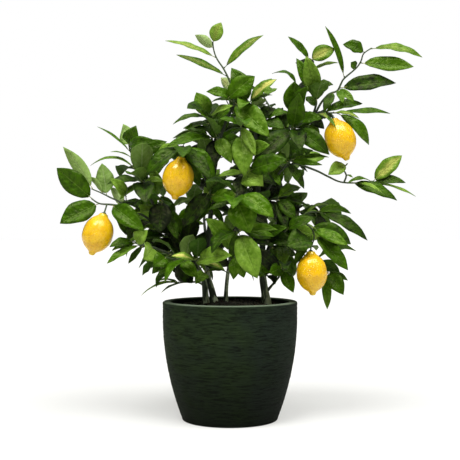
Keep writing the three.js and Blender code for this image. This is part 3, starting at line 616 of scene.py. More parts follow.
# A lemon is given by the places of its neck and its nipple. All four share one outline from nipple to
# neck, given as shares of the radius and of the length.
lemons = {
    "lemon_left_low": ((-234, -44, 381), (-258, -50, 304)),
    "lemon_left_high": ((-90, -60, 486), (-103, -66, 407)),
    "lemon_right_high": ((192, -38, 557), (218, -46, 480)),
    "lemon_right_low": ((150, -44, 311), (154, -50, 229)),
}
lemon_outline = [
    (0, -1), (0.13, -0.995), (0.2, -0.965), (0.25, -0.925), (0.36, -0.895), (0.55, -0.85), (0.76, -0.77),
    (0.91, -0.68), (0.985, -0.58), (1, -0.49), (0.965, -0.38), (0.87, -0.27), (0.7, -0.175), (0.5, -0.11),
    (0.36, -0.07), (0.29, -0.035), (0.26, -0.012), (0.18, 0), (0, -0.012),
]

rind_finish = new_finish("lemon_rind")
rind_nodes = rind_finish.node_tree
rind_place = surface_place(rind_nodes)
pores = add_node(rind_nodes, "TexVoronoi", {"Vector": rind_place, "Scale": 400, "Randomness": 0.9})
pore_edge = rescale(rind_nodes, pores.outputs["Distance"], 0.05, 0.42)
rind_cloud = noise_pattern(rind_nodes, rind_place, scale=70, detail=4)
rind_yellow = tinted(rind_nodes, rind_cloud, ((0.3, (0.62, 0.33, 0.002)), (0.7, (0.75, 0.46, 0.004))))
rind_colour = blend_colours(rind_nodes, painted(rind_nodes, "ends"), rind_yellow, (0.52, 0.40, 0.02, 1))
dress(rind_finish, {
    "Base Color": blend_colours(rind_nodes, 0.17, rind_colour, pore_edge, "MULTIPLY"),
    "Roughness": 0.22,
    "Specular IOR Level": 0.7,
    "Specular Tint": (1, 0.95, 0.6, 1),
    "Subsurface Weight": 0.12,
    "Subsurface Radius": (0.006, 0.004, 0.001),
    "Subsurface Scale": 1,
    "Normal": relief(rind_nodes, pore_edge, 0.8, 0.0009),
})

for name, ends in lemons.items():
    top, end = [place_on_plant(spot) for spot in ends]
    length = (top - end).length
    lemon_mesh = bmesh.new()
    ends_layer = lemon_mesh.verts.layers.float.new("ends")
    outline = [Vector((r * lemon_radius, 0, z * length)) for r, z in lemon_outline]
    outline = smooth_route(outline, lemon_step)
    turn_section(lemon_mesh, [(max(0, point.x), point.z) for point in outline], lemon_sides)
    for point in lemon_mesh.verts:
        share = -point.co.z / length
        near_neck = neck_green * max(0, 1 - share / neck_reach)
        near_nipple = nipple_green * max(0, 1 - (1 - share) / nipple_reach)
        point[ends_layer] = near_neck + near_nipple
        dent = noise.noise(point.co * dent_scale + top * 50)
        point.co.xy *= 1 + lemon_dents / lemon_radius * dent
    hang = Vector((0, 0, -1)).rotation_difference((end - top).normalized()).to_matrix().to_4x4()
    bmesh.ops.transform(lemon_mesh, matrix=Matrix.Translation(top) @ hang, verts=lemon_mesh.verts)
    add_piece(name.replace("lemon", "fruit"), lemon_mesh, [rind_finish], [name])

# ---- The leafy shoots ----
# Green twigs grow from the ends and sides of the branches, and each carries its leaves on short stalks.
# The leaves that the photo shows are given one by one, and the others grow by rule.
root_from = 0.005
root_sink = 0.0025
end_on = 0.3
steep = 0.7

# The shifts in depth and turn by which a given leaf may have been moved clear of its neighbours.
depths_tried = (0, -9, 9, -18, 18, -28, 28, -40, 40)
turns_tried = (0, 22, -22)

# A leaf grown by rule: its turn round the twig, lean from it, reach, turn to the front, width as a share
# of its reach, arch and droop.
rule_seed = 41
places_tried = 16
first_place = 0.25
golden_turn = 2.39996
next_turn = 1.1
turn_play = (-0.5, 0.5)
ruled_lean = (0.75, 1.25)
ruled_reach = (60, 90)
ruled_face = (-35, 75)
ruled_width = (0.4, 0.5)
ruled_arch = (0.04, 0.13)
ruled_droop = 0.2
nearly_upright = 0.2

# How the plain leaves are folded and waved, and where along them they are widest.
plain_fold = 0.26
plain_wave = 0.1
broad_width = 24
few_station = (0.4, 1)
broad_station = (0.57, -1)
same_place = 0.0001

# A shoot is (places along its twig, how many leaves it grew by rule, its given leaves). A leaf is (place
# along the twig, its tip across, in depth and up, how far its upper side is turned to the front in
# degrees, its width, arch, tone from dark to pale, and yellowing). The tone is the leaf's own green, and
# for leaves in deep shadow also painted shade.
shoots = {
    "shoot_left_end": ([(-200, -28, 395), (-222, -30, 398), (-243, -32, 400), (-257, -32, 409)], 0, [
        (1, -322, -48, 466, 80, 42, 0.06, 0.22, 0), (0.72, -316, -58, 362, 72, 42, 0.06, 0.24, 0),
        (0.3, -162, -78, 352, 78, 36, 0.06, 0.28, 0), (0.15, -192, -24, 341, 40, 20, 0.05, 0.15, 0),
        (0.1, -166, -48, 388, 30, 22, 0.1, 0.05, 0),
    ]),
    "shoot_left_high": ([
        (-190, -26, 391), (-207, -20, 404), (-222, -14, 411), (-240, -10, 420), (-257, -6, 427),
    ], 0, [
        (1, -308, 8, 505, -72, 27, 0.08, 0.62, 0), (0.72, -262, 8, 450, -45, 16, 0.06, 0.6, 0),
        (0.6, -238, 22, 475, -85, 36, 0.05, 0.5, 0), (0.1, -222, 25, 430, -80, 20, 0.05, 0.75, 0),
    ]),
    "shoot_left_top": ([
        (-161, 0, 442), (-171, 0, 458), (-179, 0, 480), (-186, 0, 500), (-188, 0, 510),
    ], 2, [
        (0.2, -259, -12, 473, 25, 13, 0.22, 0.45, 0), (0.62, -221, -22, 498, 20, 9, 0.05, 0.45, 0),
        (0.8, -246, 12, 543, 12, 11, 0.04, 0.35, 0), (1, -198, 30, 547, -80, 30, 0.06, 0.6, 0),
        (1, -176, -24, 543, 78, 30, 0.1, 0.25, 0), (0.9, -132, -30, 514, 55, 22, 0.36, 0.22, 0),
        (0.6, -121, -45, 516, 75, 32, 0.06, 0.2, 0),
    ]),
    "shoot_left_mid": ([(-156, 0, 431), (-163, -12, 440), (-168, -20, 444)], 2, [
        (0.9, -228, -34, 439, 40, 22, 0.06, 0.13, 0), (0.7, -141, -38, 455, 30, 9, 0.1, 0.4, 0),
        (0.4, -124, -36, 443, 50, 16, 0.08, 0.55, 0), (0.3, -193, -10, 421, 50, 12, 0.06, 0.6, 0),
        (0.2, -205, -25, 409, 40, 14, 0.1, 0.4, 0),
    ]),
    "shoot_left_low": ([(-135, -42, 316), (-155, -47, 322), (-170, -50, 324), (-182, -50, 332)], 0, [
        (1, -224, -62, 319, 50, 20, 0.06, 0.2, 0), (0.8, -220, -42, 313, 40, 20, 0.06, 0.3, 0),
        (0.62, -229, -66, 288, 45, 17, 0.08, 0.42, 0), (0.5, -189, -48, 288, 60, 12, 0.06, 0.15, 0),
        (0.9, -156, -72, 349, 85, 27, 0.08, 0.6, 0), (0.08, -160, -76, 297, 85, 42, 0.1, 0.65, 0),
    ]),
    "shoot_low_left": ([(-64, -5, 288), (-84, -28, 292), (-104, -46, 297), (-120, -56, 300)], 2, [
        (1, -142, -76, 284, 78, 30, 0.08, 0.25, 0), (0.8, -146, -52, 271, 60, 22, 0.06, 0.15, 0),
        (0.55, -60, -60, 263, 70, 24, 0.06, 0.35, 0), (0.9, -118, -40, 262, 40, 12, 0.1, 0.25, 0),
        (0.7, -133, -30, 266, 50, 10, 0.1, 0.25, 0),
    ]),
    "shoot_low_back_left": ([(-72, 28, 254), (-84, 32, 254), (-96, 36, 252)], 1, [
        (0.9, -165, 40, 229, 15, 14, 0.12, 0.65, 0), (0.3, -128, 18, 236, 5, 12, 0.05, 0.25, 0),
        (1, -138, 62, 256, 15, 12, 0.08, 0.6, 0),
    ]),
    "shoot_low_front": ([(-56, -42, 298), (-60, -60, 296), (-63, -74, 293)], 3, [
        (1, -10, -92, 277, 45, 17, 0.07, 0.45, 0.5), (1, -108, -92, 304, 48, 17, 0.07, 0.5, 1),
    ]),
    "shoot_lemon_left": ([(-76, -40, 497), (-84, -46, 504), (-91, -50, 506)], 1, [
        (0.8, -26, -62, 452, 62, 32, 0.1, 0.28, 0), (0.6, -34, -96, 444, 60, 26, 0.08, 0.12, 0),
        (1, -158, -66, 456, 55, 32, 0.08, 0.16, 0), (0.5, -56, -30, 430, 65, 24, 0.05, 0.2, 0),
        (1, -138, -24, 494, 40, 18, 0.1, 0.5, 0), (0.9, -70, -8, 532, 45, 14, 0.1, 0.6, 0),
    ]),
    "shoot_center_left": ([(-18, 2, 520), (-24, -12, 522), (-28, -22, 522)], 3, [
        (1, -118, -40, 505, 48, 24, 0.08, 0.3, 0),
    ]),
    "shoot_upper_left": ([(-34, 12, 532), (-37, 6, 548), (-39, 0, 562)], 2, [
        (0.5, -83, -14, 537, 35, 17, 0.08, 0.3, 0), (0.9, -106, -16, 547, 35, 16, 0.14, 0.25, 0),
        (1, -62, -12, 606, 82, 33, 0.06, 0.42, 0), (0.9, 4, -28, 583, 50, 18, 0.08, 0.6, 0),
    ]),
    "shoot_top_left": ([
        (8, -6, 582), (4, -5, 612), (-3, -3, 632), (-12, 0, 650), (-24, 2, 668), (-30, 3, 684),
        (-32, 3, 700),
    ], 0, [
        (0.42, -100, -14, 675, 45, 19, 0.04, 0.28, 0.15), (0.76, -120, 0, 702, 40, 16, 0.04, 0.58, 0.3),
        (0.56, 60, -8, 715, 48, 20, 0.04, 0.38, 0.2), (0.92, -63, 14, 713, -60, 20, 0.02, 0.85, 0),
        (1, -17, -6, 736, 76, 26, 0.06, 0.55, 0.2), (0.06, -42, -26, 610, 60, 24, 0.08, 0.3, 0),
        (0.2, -18, 24, 634, -70, 24, 0.06, 1, 0.8), (0.02, -35, 8, 591, 30, 14, 0.05, 0.15, 0),
        (0.02, 74, -68, 523, 84, 42, 0.06, 0.38, 0),
    ]),
    "shoot_top_middle": ([(40, 4, 574), (36, 0, 584), (34, -2, 590)], 1, [
        (1, 4, -20, 651, 84, 37, 0.06, 0.25, 0), (0.9, 85, -14, 632, 50, 24, 0.06, 0.45, 1),
        (0.8, 78, 20, 632, -50, 20, 0.06, 0.25, 0), (0.6, 77, -8, 604, 35, 16, 0.05, 0.35, 0),
        (0.3, 66, 10, 592, -75, 20, 0.05, 0.65, 0),
    ]),
    "shoot_upper_middle": ([(47, 9, 538), (58, 2, 550), (66, -4, 558)], 2, [
        (1, 107, -10, 570, 45, 20, 0.08, 0.3, 0), (0.8, 100, -30, 540, 60, 26, 0.06, 0.17, 0),
    ]),
    "shoot_center_top": ([(22, -30, 515), (20, -44, 532), (20, -52, 546)], 1, [
        (1, 47, -84, 488, 60, 20, 0.08, 0.55, 0), (0.5, 27, -88, 452, 80, 38, 0.08, 0.48, 0),
        (1, -21, -66, 556, 40, 17, 0.08, 0.28, 0), (0.2, -12, -22, 508, 70, 26, 0.06, 0.2, 0),
    ]),
    "shoot_center_right": ([(112, -3, 533), (118, -18, 538), (122, -28, 541)], 2, [
        (1, 43, -58, 478, 66, 38, 0.06, 0.1, 0), (0.8, 184, -52, 493, 58, 34, 0.1, 0.18, 0),
    ]),
    "shoot_mid_right": ([(98, -12, 464), (106, -24, 476), (114, -32, 482)], 2, [
        (1, 184, -46, 486, 42, 14, 0.05, 0.42, 0), (0.6, 138, -38, 428, 55, 18, 0.06, 0.12, 0),
        (0.3, 132, -8, 432, 30, 14, 0.06, 0.15, 0), (0.7, 80, -52, 487, 70, 22, 0.05, 0.3, 0),
        (0.9, 171, -62, 472, 60, 12, 0.05, 0.25, 0),
    ]),
    "shoot_right_branch": ([
        (122, -16, 475), (160, -18, 461), (182, -19, 450), (205, -20, 440), (235, -20, 438),
        (267, -20, 440),
    ], 0, [
        (1, 319, -28, 490, 66, 30, 0.04, 0.45, 0.5), (1, 326, -36, 441, 58, 18, 0.08, 0.17, 0),
        (0.97, 345, -14, 413, 30, 11, 0.05, 0.55, 0), (0.72, 311, -40, 408, 60, 25, 0.08, 0.22, 0),
        (1, 218, -40, 440, 48, 14, 0.12, 0.4, 0), (0.8, 283, -50, 420, 50, 8, 0.1, 0.6, 0),
    ]),
    "shoot_lemon_right_high": ([(150, -2, 560), (166, -10, 566), (186, -15, 568), (203, -16, 568)], 0, [
        (0.4, 246, 6, 584, 48, 24, 0.1, 0.3, 0), (1, 298, -14, 570, 45, 15, 0.03, 0.26, 0),
        (0.8, 240, -40, 559, 40, 12, 0.08, 0.4, 0.3), (0.95, 260, -6, 510, 58, 26, 0.14, 0.33, 0),
        (0.3, 197, -72, 542, 35, 8, 0.06, 0.45, 0), (0.2, 181, -40, 557, 40, 12, 0.08, 0.6, 0.7),
    ]),
    "shoot_top_right": ([
        (160, 0, 570), (170, 2, 588), (184, 3, 603), (199, 3, 609), (206, 3, 622), (212, 2, 632),
        (234, 0, 651), (243, 0, 664), (248, 0, 678), (262, 0, 688),
    ], 0, [
        (0.52, 179, -8, 730, 30, 15, 0.03, 0.25, 0), (0.38, 308, -14, 627, 66, 33, 0.03, 0.12, 0),
        (0.78, 341, -16, 654, 70, 31, 0.01, 0.36, 0), (1, 357, -4, 671, 48, 22, 0.1, 0.48, 0.1),
        (0.92, 211, -8, 697, 70, 26, 0.1, 0.25, 0), (0.7, 224, -10, 662, 70, 18, 0.08, 0.2, 0),
        (0.36, 210, -30, 586, 60, 15, 0.05, 0.38, 0), (0.38, 231, -22, 588, 60, 14, 0.05, 0.4, 0),
        (0.3, 174, -30, 572, 55, 18, 0.05, 0.2, 0),
    ]),
    "shoot_crown_right": ([
        (154, -1, 565), (159, -8, 580), (160, -10, 592), (154, -8, 630), (148, -4, 668),
    ], 2, [
        (0.25, 124, -20, 670, 76, 26, 0.06, 0.3, 0), (0.28, 141, -34, 673, 84, 32, 0.05, 0.5, 0),
        (1, 107, -10, 709, 48, 17, 0.05, 0.25, 0), (1, 193, -14, 690, 72, 32, 0.01, 0.42, 0.5),
        (0.8, 201, 4, 662, 35, 12, 0.05, 0.6, 0), (0.5, 191, -20, 622, 60, 17, 0.08, 0.15, 0),
        (0.1, 142, 10, 600, 60, 17, 0.06, 0.3, 0),
    ]),
    "shoot_crown_middle": ([
        (106, 0, 528), (112, 8, 546), (117, 10, 562), (120, 14, 590), (125, 16, 618),
    ], 2, [
        (0.4, 119, -6, 627, 84, 40, 0.06, 0.27, 0), (0.45, 144, -16, 618, 70, 26, 0.08, 0.25, 0),
        (1, 79, 14, 643, 30, 15, 0.25, 0.3, 0),
    ]),
    "shoot_lemon_right_low": ([
        (126, -18, 367), (142, -24, 362), (154, -28, 350), (156, -30, 334), (152, -32, 324),
    ], 0, [
        (0.9, 104, -62, 321, 78, 48, 0.06, 0.15, 0), (0.5, 219, -66, 322, 60, 24, 0.06, 0.38, 0),
        (0.7, 219, -50, 275, 55, 30, 0.08, 0.25, 0), (0.35, 226, -24, 327, 66, 38, 0.06, 0.15, 0),
        (0.6, 118, -56, 284, 60, 17, 0.06, 0.2, 0),
    ]),
    "shoot_right_fan": ([(116, -16, 360), (132, -8, 377), (148, -4, 384), (166, -2, 384)], 1, [
        (1, 256, -22, 332, 58, 24, 0.14, 0.12, 0), (0.9, 225, 6, 382, 50, 20, 0.14, 0.3, 0),
        (0.5, 185, 24, 398, 20, 11, 0.12, 0.6, 0), (0.4, 160, -24, 388, 20, 8, 0.06, 0.5, 0),
    ]),
    "shoot_right_under": ([
        (84, -6, 330), (112, 8, 318), (142, 16, 302), (166, 16, 286), (182, 12, 270),
    ], 2, [
        (1, 211, -12, 231, 72, 30, 0.08, 0.24, 0), (0.95, 181, 8, 203, 55, 18, 0.06, 0.35, 0),
        (0.75, 204, 14, 273, -60, 26, 0.06, 0, 0), (1, 219, 10, 257, 50, 14, 0.08, 0.12, 0),
    ]),
    "shoot_low_right": ([(90, -12, 262), (96, -18, 276), (100, -22, 286)], 3, [
        (0.5, 118, -42, 236, 65, 24, 0.06, 0.32, 0), (0.8, 72, -44, 270, 78, 26, 0.06, 0.25, 0),
    ]),
    "shoot_center_front": ([(12, -80, 396), (9, -88, 407), (14, -93, 417)], 2, [
        (0.6, 37, -116, 348, 80, 52, 0.06, 0.35, 0), (1, 82, -112, 377, 78, 38, 0.06, 0.36, 0),
        (0.2, -40, -92, 388, 40, 14, 0.06, 0.15, 0),
    ]),
    "shoot_center_high": ([(18, -28, 450), (26, -52, 457), (34, -70, 460)], 2, [
        (0.5, 58, -84, 437, 80, 44, 0.08, 0.58, 0), (0.6, -22, -64, 450, 45, 16, 0.06, 0.5, 0),
        (0.8, 88, -60, 436, 50, 26, 0.06, 0.05, 0),
    ]),
    "shoot_center_low": ([(13, -72, 350), (14, -84, 350), (16, -94, 347)], 1, [
        (1, 51, -122, 261, 82, 45, 0.06, 0.5, 0), (0.6, 82, -78, 338, 50, 17, 0.1, 0.33, 0),
        (0.5, 88, -92, 353, 55, 18, 0.06, 0.4, 0), (0.3, 2, -60, 295, 60, 18, 0.06, 0.2, 0),
    ]),
    "shoot_low_middle": ([(9, -36, 300), (11, -42, 303), (12, -48, 305)], 1, [
        (1, 6, -62, 260, 70, 22, 0.06, 0.35, 0), (0.8, 26, -50, 262, 75, 22, 0.06, 0.4, 0),
        (0.4, 46, -30, 258, 15, 12, 0.05, 0.4, 0),
    ]),
    "shoot_right_inner": ([(55, 6, 398), (72, -8, 406), (90, -16, 410)], 2, [
        (1, 121, -34, 371, 60, 26, 0.06, 0.2, 0), (0.7, 148, -12, 395, 30, 15, 0.06, 0.1, 0),
        (0.9, 105, -40, 352, 70, 22, 0.06, 0.06, 0), (0.5, 68, -34, 372, 60, 20, 0.06, 0.15, 0),
    ]),
    "shoot_left_inner": ([(-118, 0, 354), (-120, -16, 374), (-124, -30, 400), (-126, -34, 408)], 3, [
        (1, -132, -58, 344, 75, 42, 0.06, 0, 0), (0.6, -97, -52, 334, 50, 20, 0.06, 0.15, 0),
    ]),
    "shoot_inner_left": ([(-36, 14, 378), (-38, -10, 405), (-36, -26, 426)], 3, [
        (1, -86, -52, 357, 72, 34, 0.06, 0.06, 0), (0.7, -62, -40, 367, 60, 26, 0.06, 0.15, 0),
        (0.5, -12, -30, 358, 30, 14, 0.06, 0.3, 0),
    ]),
    "shoot_back_left": ([(-120, 110, 392), (-140, 125, 420), (-155, 130, 455)], 6, []),
    "shoot_back_left_mid": ([(-104, 75, 352), (-140, 80, 362), (-175, 85, 380)], 6, []),
    "shoot_back_left_low": ([(-82, 35, 318), (-110, 60, 310), (-140, 80, 305)], 5, []),
    "shoot_back_inner": ([(-38, 130, 480), (-35, 140, 515), (-30, 142, 550)], 6, []),
    "shoot_back_inner_left": ([(-44, 105, 430), (-75, 125, 450), (-100, 138, 480)], 6, []),
    "shoot_back_inner_low": ([(-48, 60, 370), (-30, 100, 370), (-15, 135, 380)], 5, []),
    "shoot_back_middle": ([(16, 115, 430), (20, 135, 465), (25, 145, 500)], 5, []),
    "shoot_back_middle_right": ([(14, 85, 385), (40, 115, 390), (60, 140, 405)], 5, []),
    "shoot_back_middle_low": ([(8, 40, 345), (0, 80, 325), (-5, 115, 315)], 5, []),
    "shoot_back_right": ([(104, 112, 425), (115, 130, 460), (125, 135, 495)], 6, []),
    "shoot_back_right_mid": ([(94, 88, 380), (130, 100, 385), (165, 105, 400)], 6, []),
    "shoot_back_right_low": ([(76, 45, 330), (105, 75, 320), (130, 95, 312)], 5, []),
    "shoot_back_top": ([(80, 82, 570), (66, 92, 592), (55, 96, 612)], 5, []),
    "shoot_back_top_left": ([(62, 52, 530), (30, 80, 545), (5, 95, 560)], 6, []),
}

# One of these shoots has a second twig.
side_twigs = {
    "shoot_right_branch": ([(212, -20, 440), (216, -24, 452), (211, -28, 464), (218, -30, 474)], 0, [
        (1, 183, -46, 455, 70, 26, 0.06, 0.68, 0), (0.3, 228, -30, 448, 30, 6, 0.05, 0.4, 0),
    ]),
}


def seeded_draws(state):
    while True:
        state = (state * 1664525 + 1013904223) % 4294967296
        yield state / 4294967296


draws = seeded_draws(rule_seed)


def between(low, high):
    return low + (high - low) * next(draws)


def leaf_root(route, t):
    """A place along a twig, clear of the wood at its start and inside it at its end, and the way there."""
    lengths = [(b - a).length for a, b in zip(route, route[1:])]
    left = root_from + t * (sum(lengths) - root_from - root_sink)
    i = 0
    while i < len(lengths) - 1 and left > lengths[i]:
        left -= lengths[i]
        i += 1
    way = (route[i + 1] - route[i]) / lengths[i]
    return route[i] + way * left, way


def upper_side(way, face):
    """The way that the leaf's upper side looks: face turns it from the sky towards the front."""
    turn = math.radians(face)
    side = Vector((0, -math.sin(turn), math.cos(turn)))
    side -= way * side.dot(way)
    if side.length < end_on:
        side = Vector((0, -1, 0)) if abs(way.z) > steep else Vector((0, 0, 1))
        side -= way * side.dot(way)
    return side.normalized()


def placed_leaves(route, row):
    """The places that one leaf of the photo can take."""
    t, x, depth, z, face, width, arch, tone, yellow = row
    root = leaf_root(route, t)[0]
    for nearer in depths_tried:
        for turn in turns_tried:
            tip = place_on_plant((x, depth + nearer, z))
            way = (tip - root).normalized()
            station = few_station if width < broad_width else broad_station
            yield {
                "root": root, "tip": tip, "face": upper_side(way, face + turn), "width": width / 1000,
                "arch": arch, "station": station, "tone": tone, "yellow": yellow,
            }


def ruled_leaves(route, k, count):
    """The places that one leaf can take by rule: leaves go round the twig, and lean out and down."""
    ways = []
    for n in range(places_tried):
        place = k + first_place + (1 - first_place) * next(draws)
        root, way = leaf_root(route, min(1, place / count))
        turn = k * golden_turn + n * next_turn + between(*turn_play)
        lean = between(*ruled_lean)
        reach = between(*ruled_reach) / 1000
        face = between(*ruled_face)
        side = Vector((0, 0, 1)).cross(way)
        if side.length < nearly_upright:
            side = Vector((1, 0, 0))
        side.normalize()
        out = side * math.cos(turn) + side.cross(way) * math.sin(turn)
        aim = way * math.cos(lean) + out * math.sin(lean)
        aim.z -= ruled_droop
        aim.normalize()
        width = reach * between(*ruled_width)
        arch = between(*ruled_arch)
        ways.append({
            "root": root, "tip": root + aim * reach, "face": upper_side(aim, face), "width": width,
            "arch": arch, "station": few_station, "tone": None, "yellow": 0,
        })
    return ways


def spine(leaf, u):
    """A point of the midrib, which bows over the straight line from the leaf's root to its tip."""
    chord = leaf["tip"] - leaf["root"]
    return leaf["root"] + chord * u + leaf["face"] * (leaf["arch"] * chord.length * 4 * u * (1 - u))


def grew(leaf, corners):
    """Whether the plain node has this leaf: its tip and both its widest corners are corners there."""
    u, tilt = leaf["station"]
    way = (leaf["tip"] - leaf["root"]).normalized()
    across = way.cross(leaf["face"])
    half = leaf["width"] / 2
    places = [leaf["tip"]]
    for side in (-1, 1):
        lift = half * (plain_fold + side * tilt * plain_wave)
        places.append(spine(leaf, u) + across * side * half + leaf["face"] * lift)
    return all(corners.find(place)[2] < same_place for place in places)


def node_corners(name):
    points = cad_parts[name].data.vertices
    corners = kdtree.KDTree(len(points))
    for i, point in enumerate(points):
        corners.insert(point.co, i)
    corners.balance()
    return corners


def first_grown(ways, corners):
    """The first of these places at which the plain node has the leaf, if it has it at all."""
    return [leaf for leaf in ways if grew(leaf, corners)][:1]


shoot_twigs = {name: [twig] for name, twig in shoots.items()}
for name, twig in side_twigs.items():
    shoot_twigs[name].append(twig)
shoot_corners = {name: node_corners(name) for name in shoots}
shoot_leaves = {name: [] for name in shoots}
shoot_routes = {}
for name, twigs in shoot_twigs.items():
    shoot_routes[name] = [[place_on_plant(point) for point in points] for points, more, rows in twigs]
    for route, (points, more, rows) in zip(shoot_routes[name], twigs):
        for row in rows:
            shoot_leaves[name] += first_grown(placed_leaves(route, row), shoot_corners[name])
for name, twigs in shoot_twigs.items():
    for route, (points, more, rows) in zip(shoot_routes[name], twigs):
        for k in range(more):
            shoot_leaves[name] += first_grown(ruled_leaves(route, k, more), shoot_corners[name])

# ---- The leaves ----
# Stiff pointed citrus leaves, glossy dark green above and matt grey-green below, each folded a little
# along its pale midrib, with waved edges and fine veins that run out to them.
leaf_rows = 10
leaf_columns = 4
leaf_thickness = 0.0006
blade_from = 0.1
blade_skew = 0.92
blade_fullness = 0.55
blade_point = 0.33
narrowest = 0.03
leaf_bulge = 0.07
leaf_twist = 0.45
leaf_fold = 0.34
leaf_fold_range = 0.12
leaf_curl = (-0.3, 1.1)
waves_along = (1.4, 2.8)
least_wave = 0.8
wave_range = 0.9
side_veins = 8
vein_lean = -1.7
yellow_colour = (0.50, 0.48, 0.12, 1)
leaf_gloss_tint = (0.9, 1, 0.35, 1)


def vein_group():
    """Masks of the midrib and of the side veins, from the leaf's own map: along it, and across it."""
    group = bpy.data.node_groups.new("leaf_veins", "ShaderNodeTree")
    group.interface.new_socket("Map", in_out="INPUT", socket_type="NodeSocketVector")
    group.interface.new_socket("Vein Count", in_out="INPUT", socket_type="NodeSocketFloat")
    for mask in ("Midrib", "Veins", "From Midrib", "Between Veins"):
        group.interface.new_socket(mask, in_out="OUTPUT", socket_type="NodeSocketFloat")
    given = group.nodes.new("NodeGroupInput").outputs
    spot = axes(group, given["Map"])
    from_midrib = combine(group, "ABSOLUTE", combine(group, "MULTIPLY_ADD", spot["Y"], 2, -1))
    lean = combine(group, "MULTIPLY", from_midrib, vein_lean)
    along = combine(group, "MULTIPLY_ADD", spot["X"], given["Vein Count"], lean)
    across = combine(group, "MULTIPLY_ADD", combine(group, "FRACT", along), 2, -1)
    from_vein = combine(group, "ABSOLUTE", across)
    fading = combine(group, "SUBTRACT", 1, combine(group, "MULTIPLY", from_midrib, 0.75))
    on_vein = rescale(group, from_vein, 0, 0.32, 1, 0, smooth=True)
    off_vein = combine(group, "SUBTRACT", 1, rescale(group, from_vein, 0, 1, 1, 0, smooth=True))
    feed(group, group.nodes.new("NodeGroupOutput"), {
        "Midrib": rescale(group, from_midrib, 0.015, 0.075, 1, 0, smooth=True),
        "Veins": combine(group, "MULTIPLY", on_vein, fading),
        "From Midrib": from_midrib,
        "Between Veins": combine(group, "MULTIPLY", off_vein, fading),
    })
    return group


veins_of_leaf = vein_group()


def leaf_material(
    name, tones, mottling, vein_colour, midrib_share, vein_share, yellow_share, roughness, gloss,
):
    """One side of the leaves. tones are its colours, from the darkest leaf to the palest."""
    finish = new_finish(name)
    nodes = finish.node_tree
    place = surface_place(nodes)
    leaf_map = add_node(nodes, "UVMap", uv_map="leaf").outputs["UV"]
    map_sockets = {"Map": leaf_map, "Vein Count": side_veins}
    veins = add_node(nodes, "Group", map_sockets, node_tree=veins_of_leaf).outputs
    tone = painted(nodes, "tone")
    mottle = noise_pattern(nodes, place, scale=85, detail=5, roughness=0.6)
    uneven_tone = rescale(nodes, mottle, 0.32, 0.68, -mottling / 2, mottling / 2)
    stops = [(i / (len(tones) - 1), colour) for i, colour in enumerate(tones)]
    colour = tinted(nodes, combine(nodes, "ADD", tone, uneven_tone, clamp=True), stops)

    # The side veins and then the midrib, which the darkest leaves hardly show.
    paleness = rescale(nodes, tone, 0, 0.6, 0.2, 1)
    for part, share in (("Veins", vein_share), ("Midrib", midrib_share)):
        mask = combine(nodes, "MULTIPLY", combine(nodes, "MULTIPLY", veins[part], share), paleness)
        colour = blend_colours(nodes, mask, colour, vein_colour)

    # Yellowing starts in blotches along the midrib.
    blotches = noise_pattern(nodes, place, scale=46, detail=4)
    near_midrib = rescale(nodes, veins["From Midrib"], 0.1, 0.9, 1, 0.35)
    patches = rescale(nodes, combine(nodes, "MULTIPLY", blotches, near_midrib), 0.28, 0.5, smooth=True)
    yellowed = combine(nodes, "MULTIPLY", patches, painted(nodes, "yellowing"))
    yellow = combine(nodes, "MULTIPLY", yellowed, yellow_share)

    # The midrib is sunk and the blade swells between the side veins. The darkest leaves are dullest.
    sunk = combine(nodes, "MULTIPLY", veins["Midrib"], -0.9)
    swollen = combine(nodes, "MULTIPLY", veins["Between Veins"], 0.36)
    pucker = noise_pattern(nodes, place, scale=120)
    height = combine(nodes, "MULTIPLY_ADD", pucker, 2.4, combine(nodes, "ADD", sunk, swollen))
    shine = rescale(nodes, mottle, 0, 1, roughness - 0.08, roughness + 0.1)
    dullness = rescale(nodes, tone, 0, 0.3, 0.18, 0)
    dress(finish, {
        "Base Color": blend_colours(nodes, yellow, colour, yellow_colour),
        "Roughness": combine(nodes, "ADD", shine, dullness),
        "Specular IOR Level": gloss,
        "Specular Tint": leaf_gloss_tint,
        "Normal": relief(nodes, height, 0.8, 0.001),
    })
    return finish


# The darkest upper tone is nearly black: painted shade for leaves deep in the crown.
upper_finish = leaf_material(
    "leaf_upper",
    [(0.003, 0.005, 0.004), (0.036, 0.096, 0.001), (0.170, 0.285, 0.034), (0.40, 0.51, 0.20)],
    mottling=0.24, vein_colour=(0.19, 0.30, 0.05, 1),
    midrib_share=0.35, vein_share=0.12, yellow_share=1, roughness=0.3, gloss=0.14,
)
under_finish = leaf_material(
    "leaf_underside",
    [(0.022, 0.056, 0.006), (0.082, 0.155, 0.022), (0.190, 0.290, 0.075), (0.34, 0.44, 0.19)],
    mottling=0.2, vein_colour=(0.34, 0.42, 0.19, 1),
    midrib_share=0.5, vein_share=0.2, yellow_share=0.5, roughness=0.6, gloss=0.06,
)


def draw_between(low, high):
    return low + (high - low) * noise.random()


def blade_share(t):
    """The leaf's half width along its blade: full below the middle, drawn out to a point at the tip."""
    if t >= 1:
        return 0
    return max(narrowest, math.sin(math.pi * t**blade_skew)) ** (blade_fullness + blade_point * t)


def give_habit(leaf):
    """What no two leaves share: how it twists, folds and curls, and the waves along its two edges."""
    leaf["twist"] = leaf_twist * (2 * noise.random() - 1)
    leaf["fold"] = leaf_fold + leaf_fold_range * (2 * noise.random() - 1)
    leaf["curl"] = draw_between(*leaf_curl)
    leaf["waves"] = draw_between(*waves_along)
    leaf["wave"] = plain_wave * (least_wave + wave_range * noise.random())
    leaf["phases"] = (math.tau * noise.random(), math.tau * noise.random())


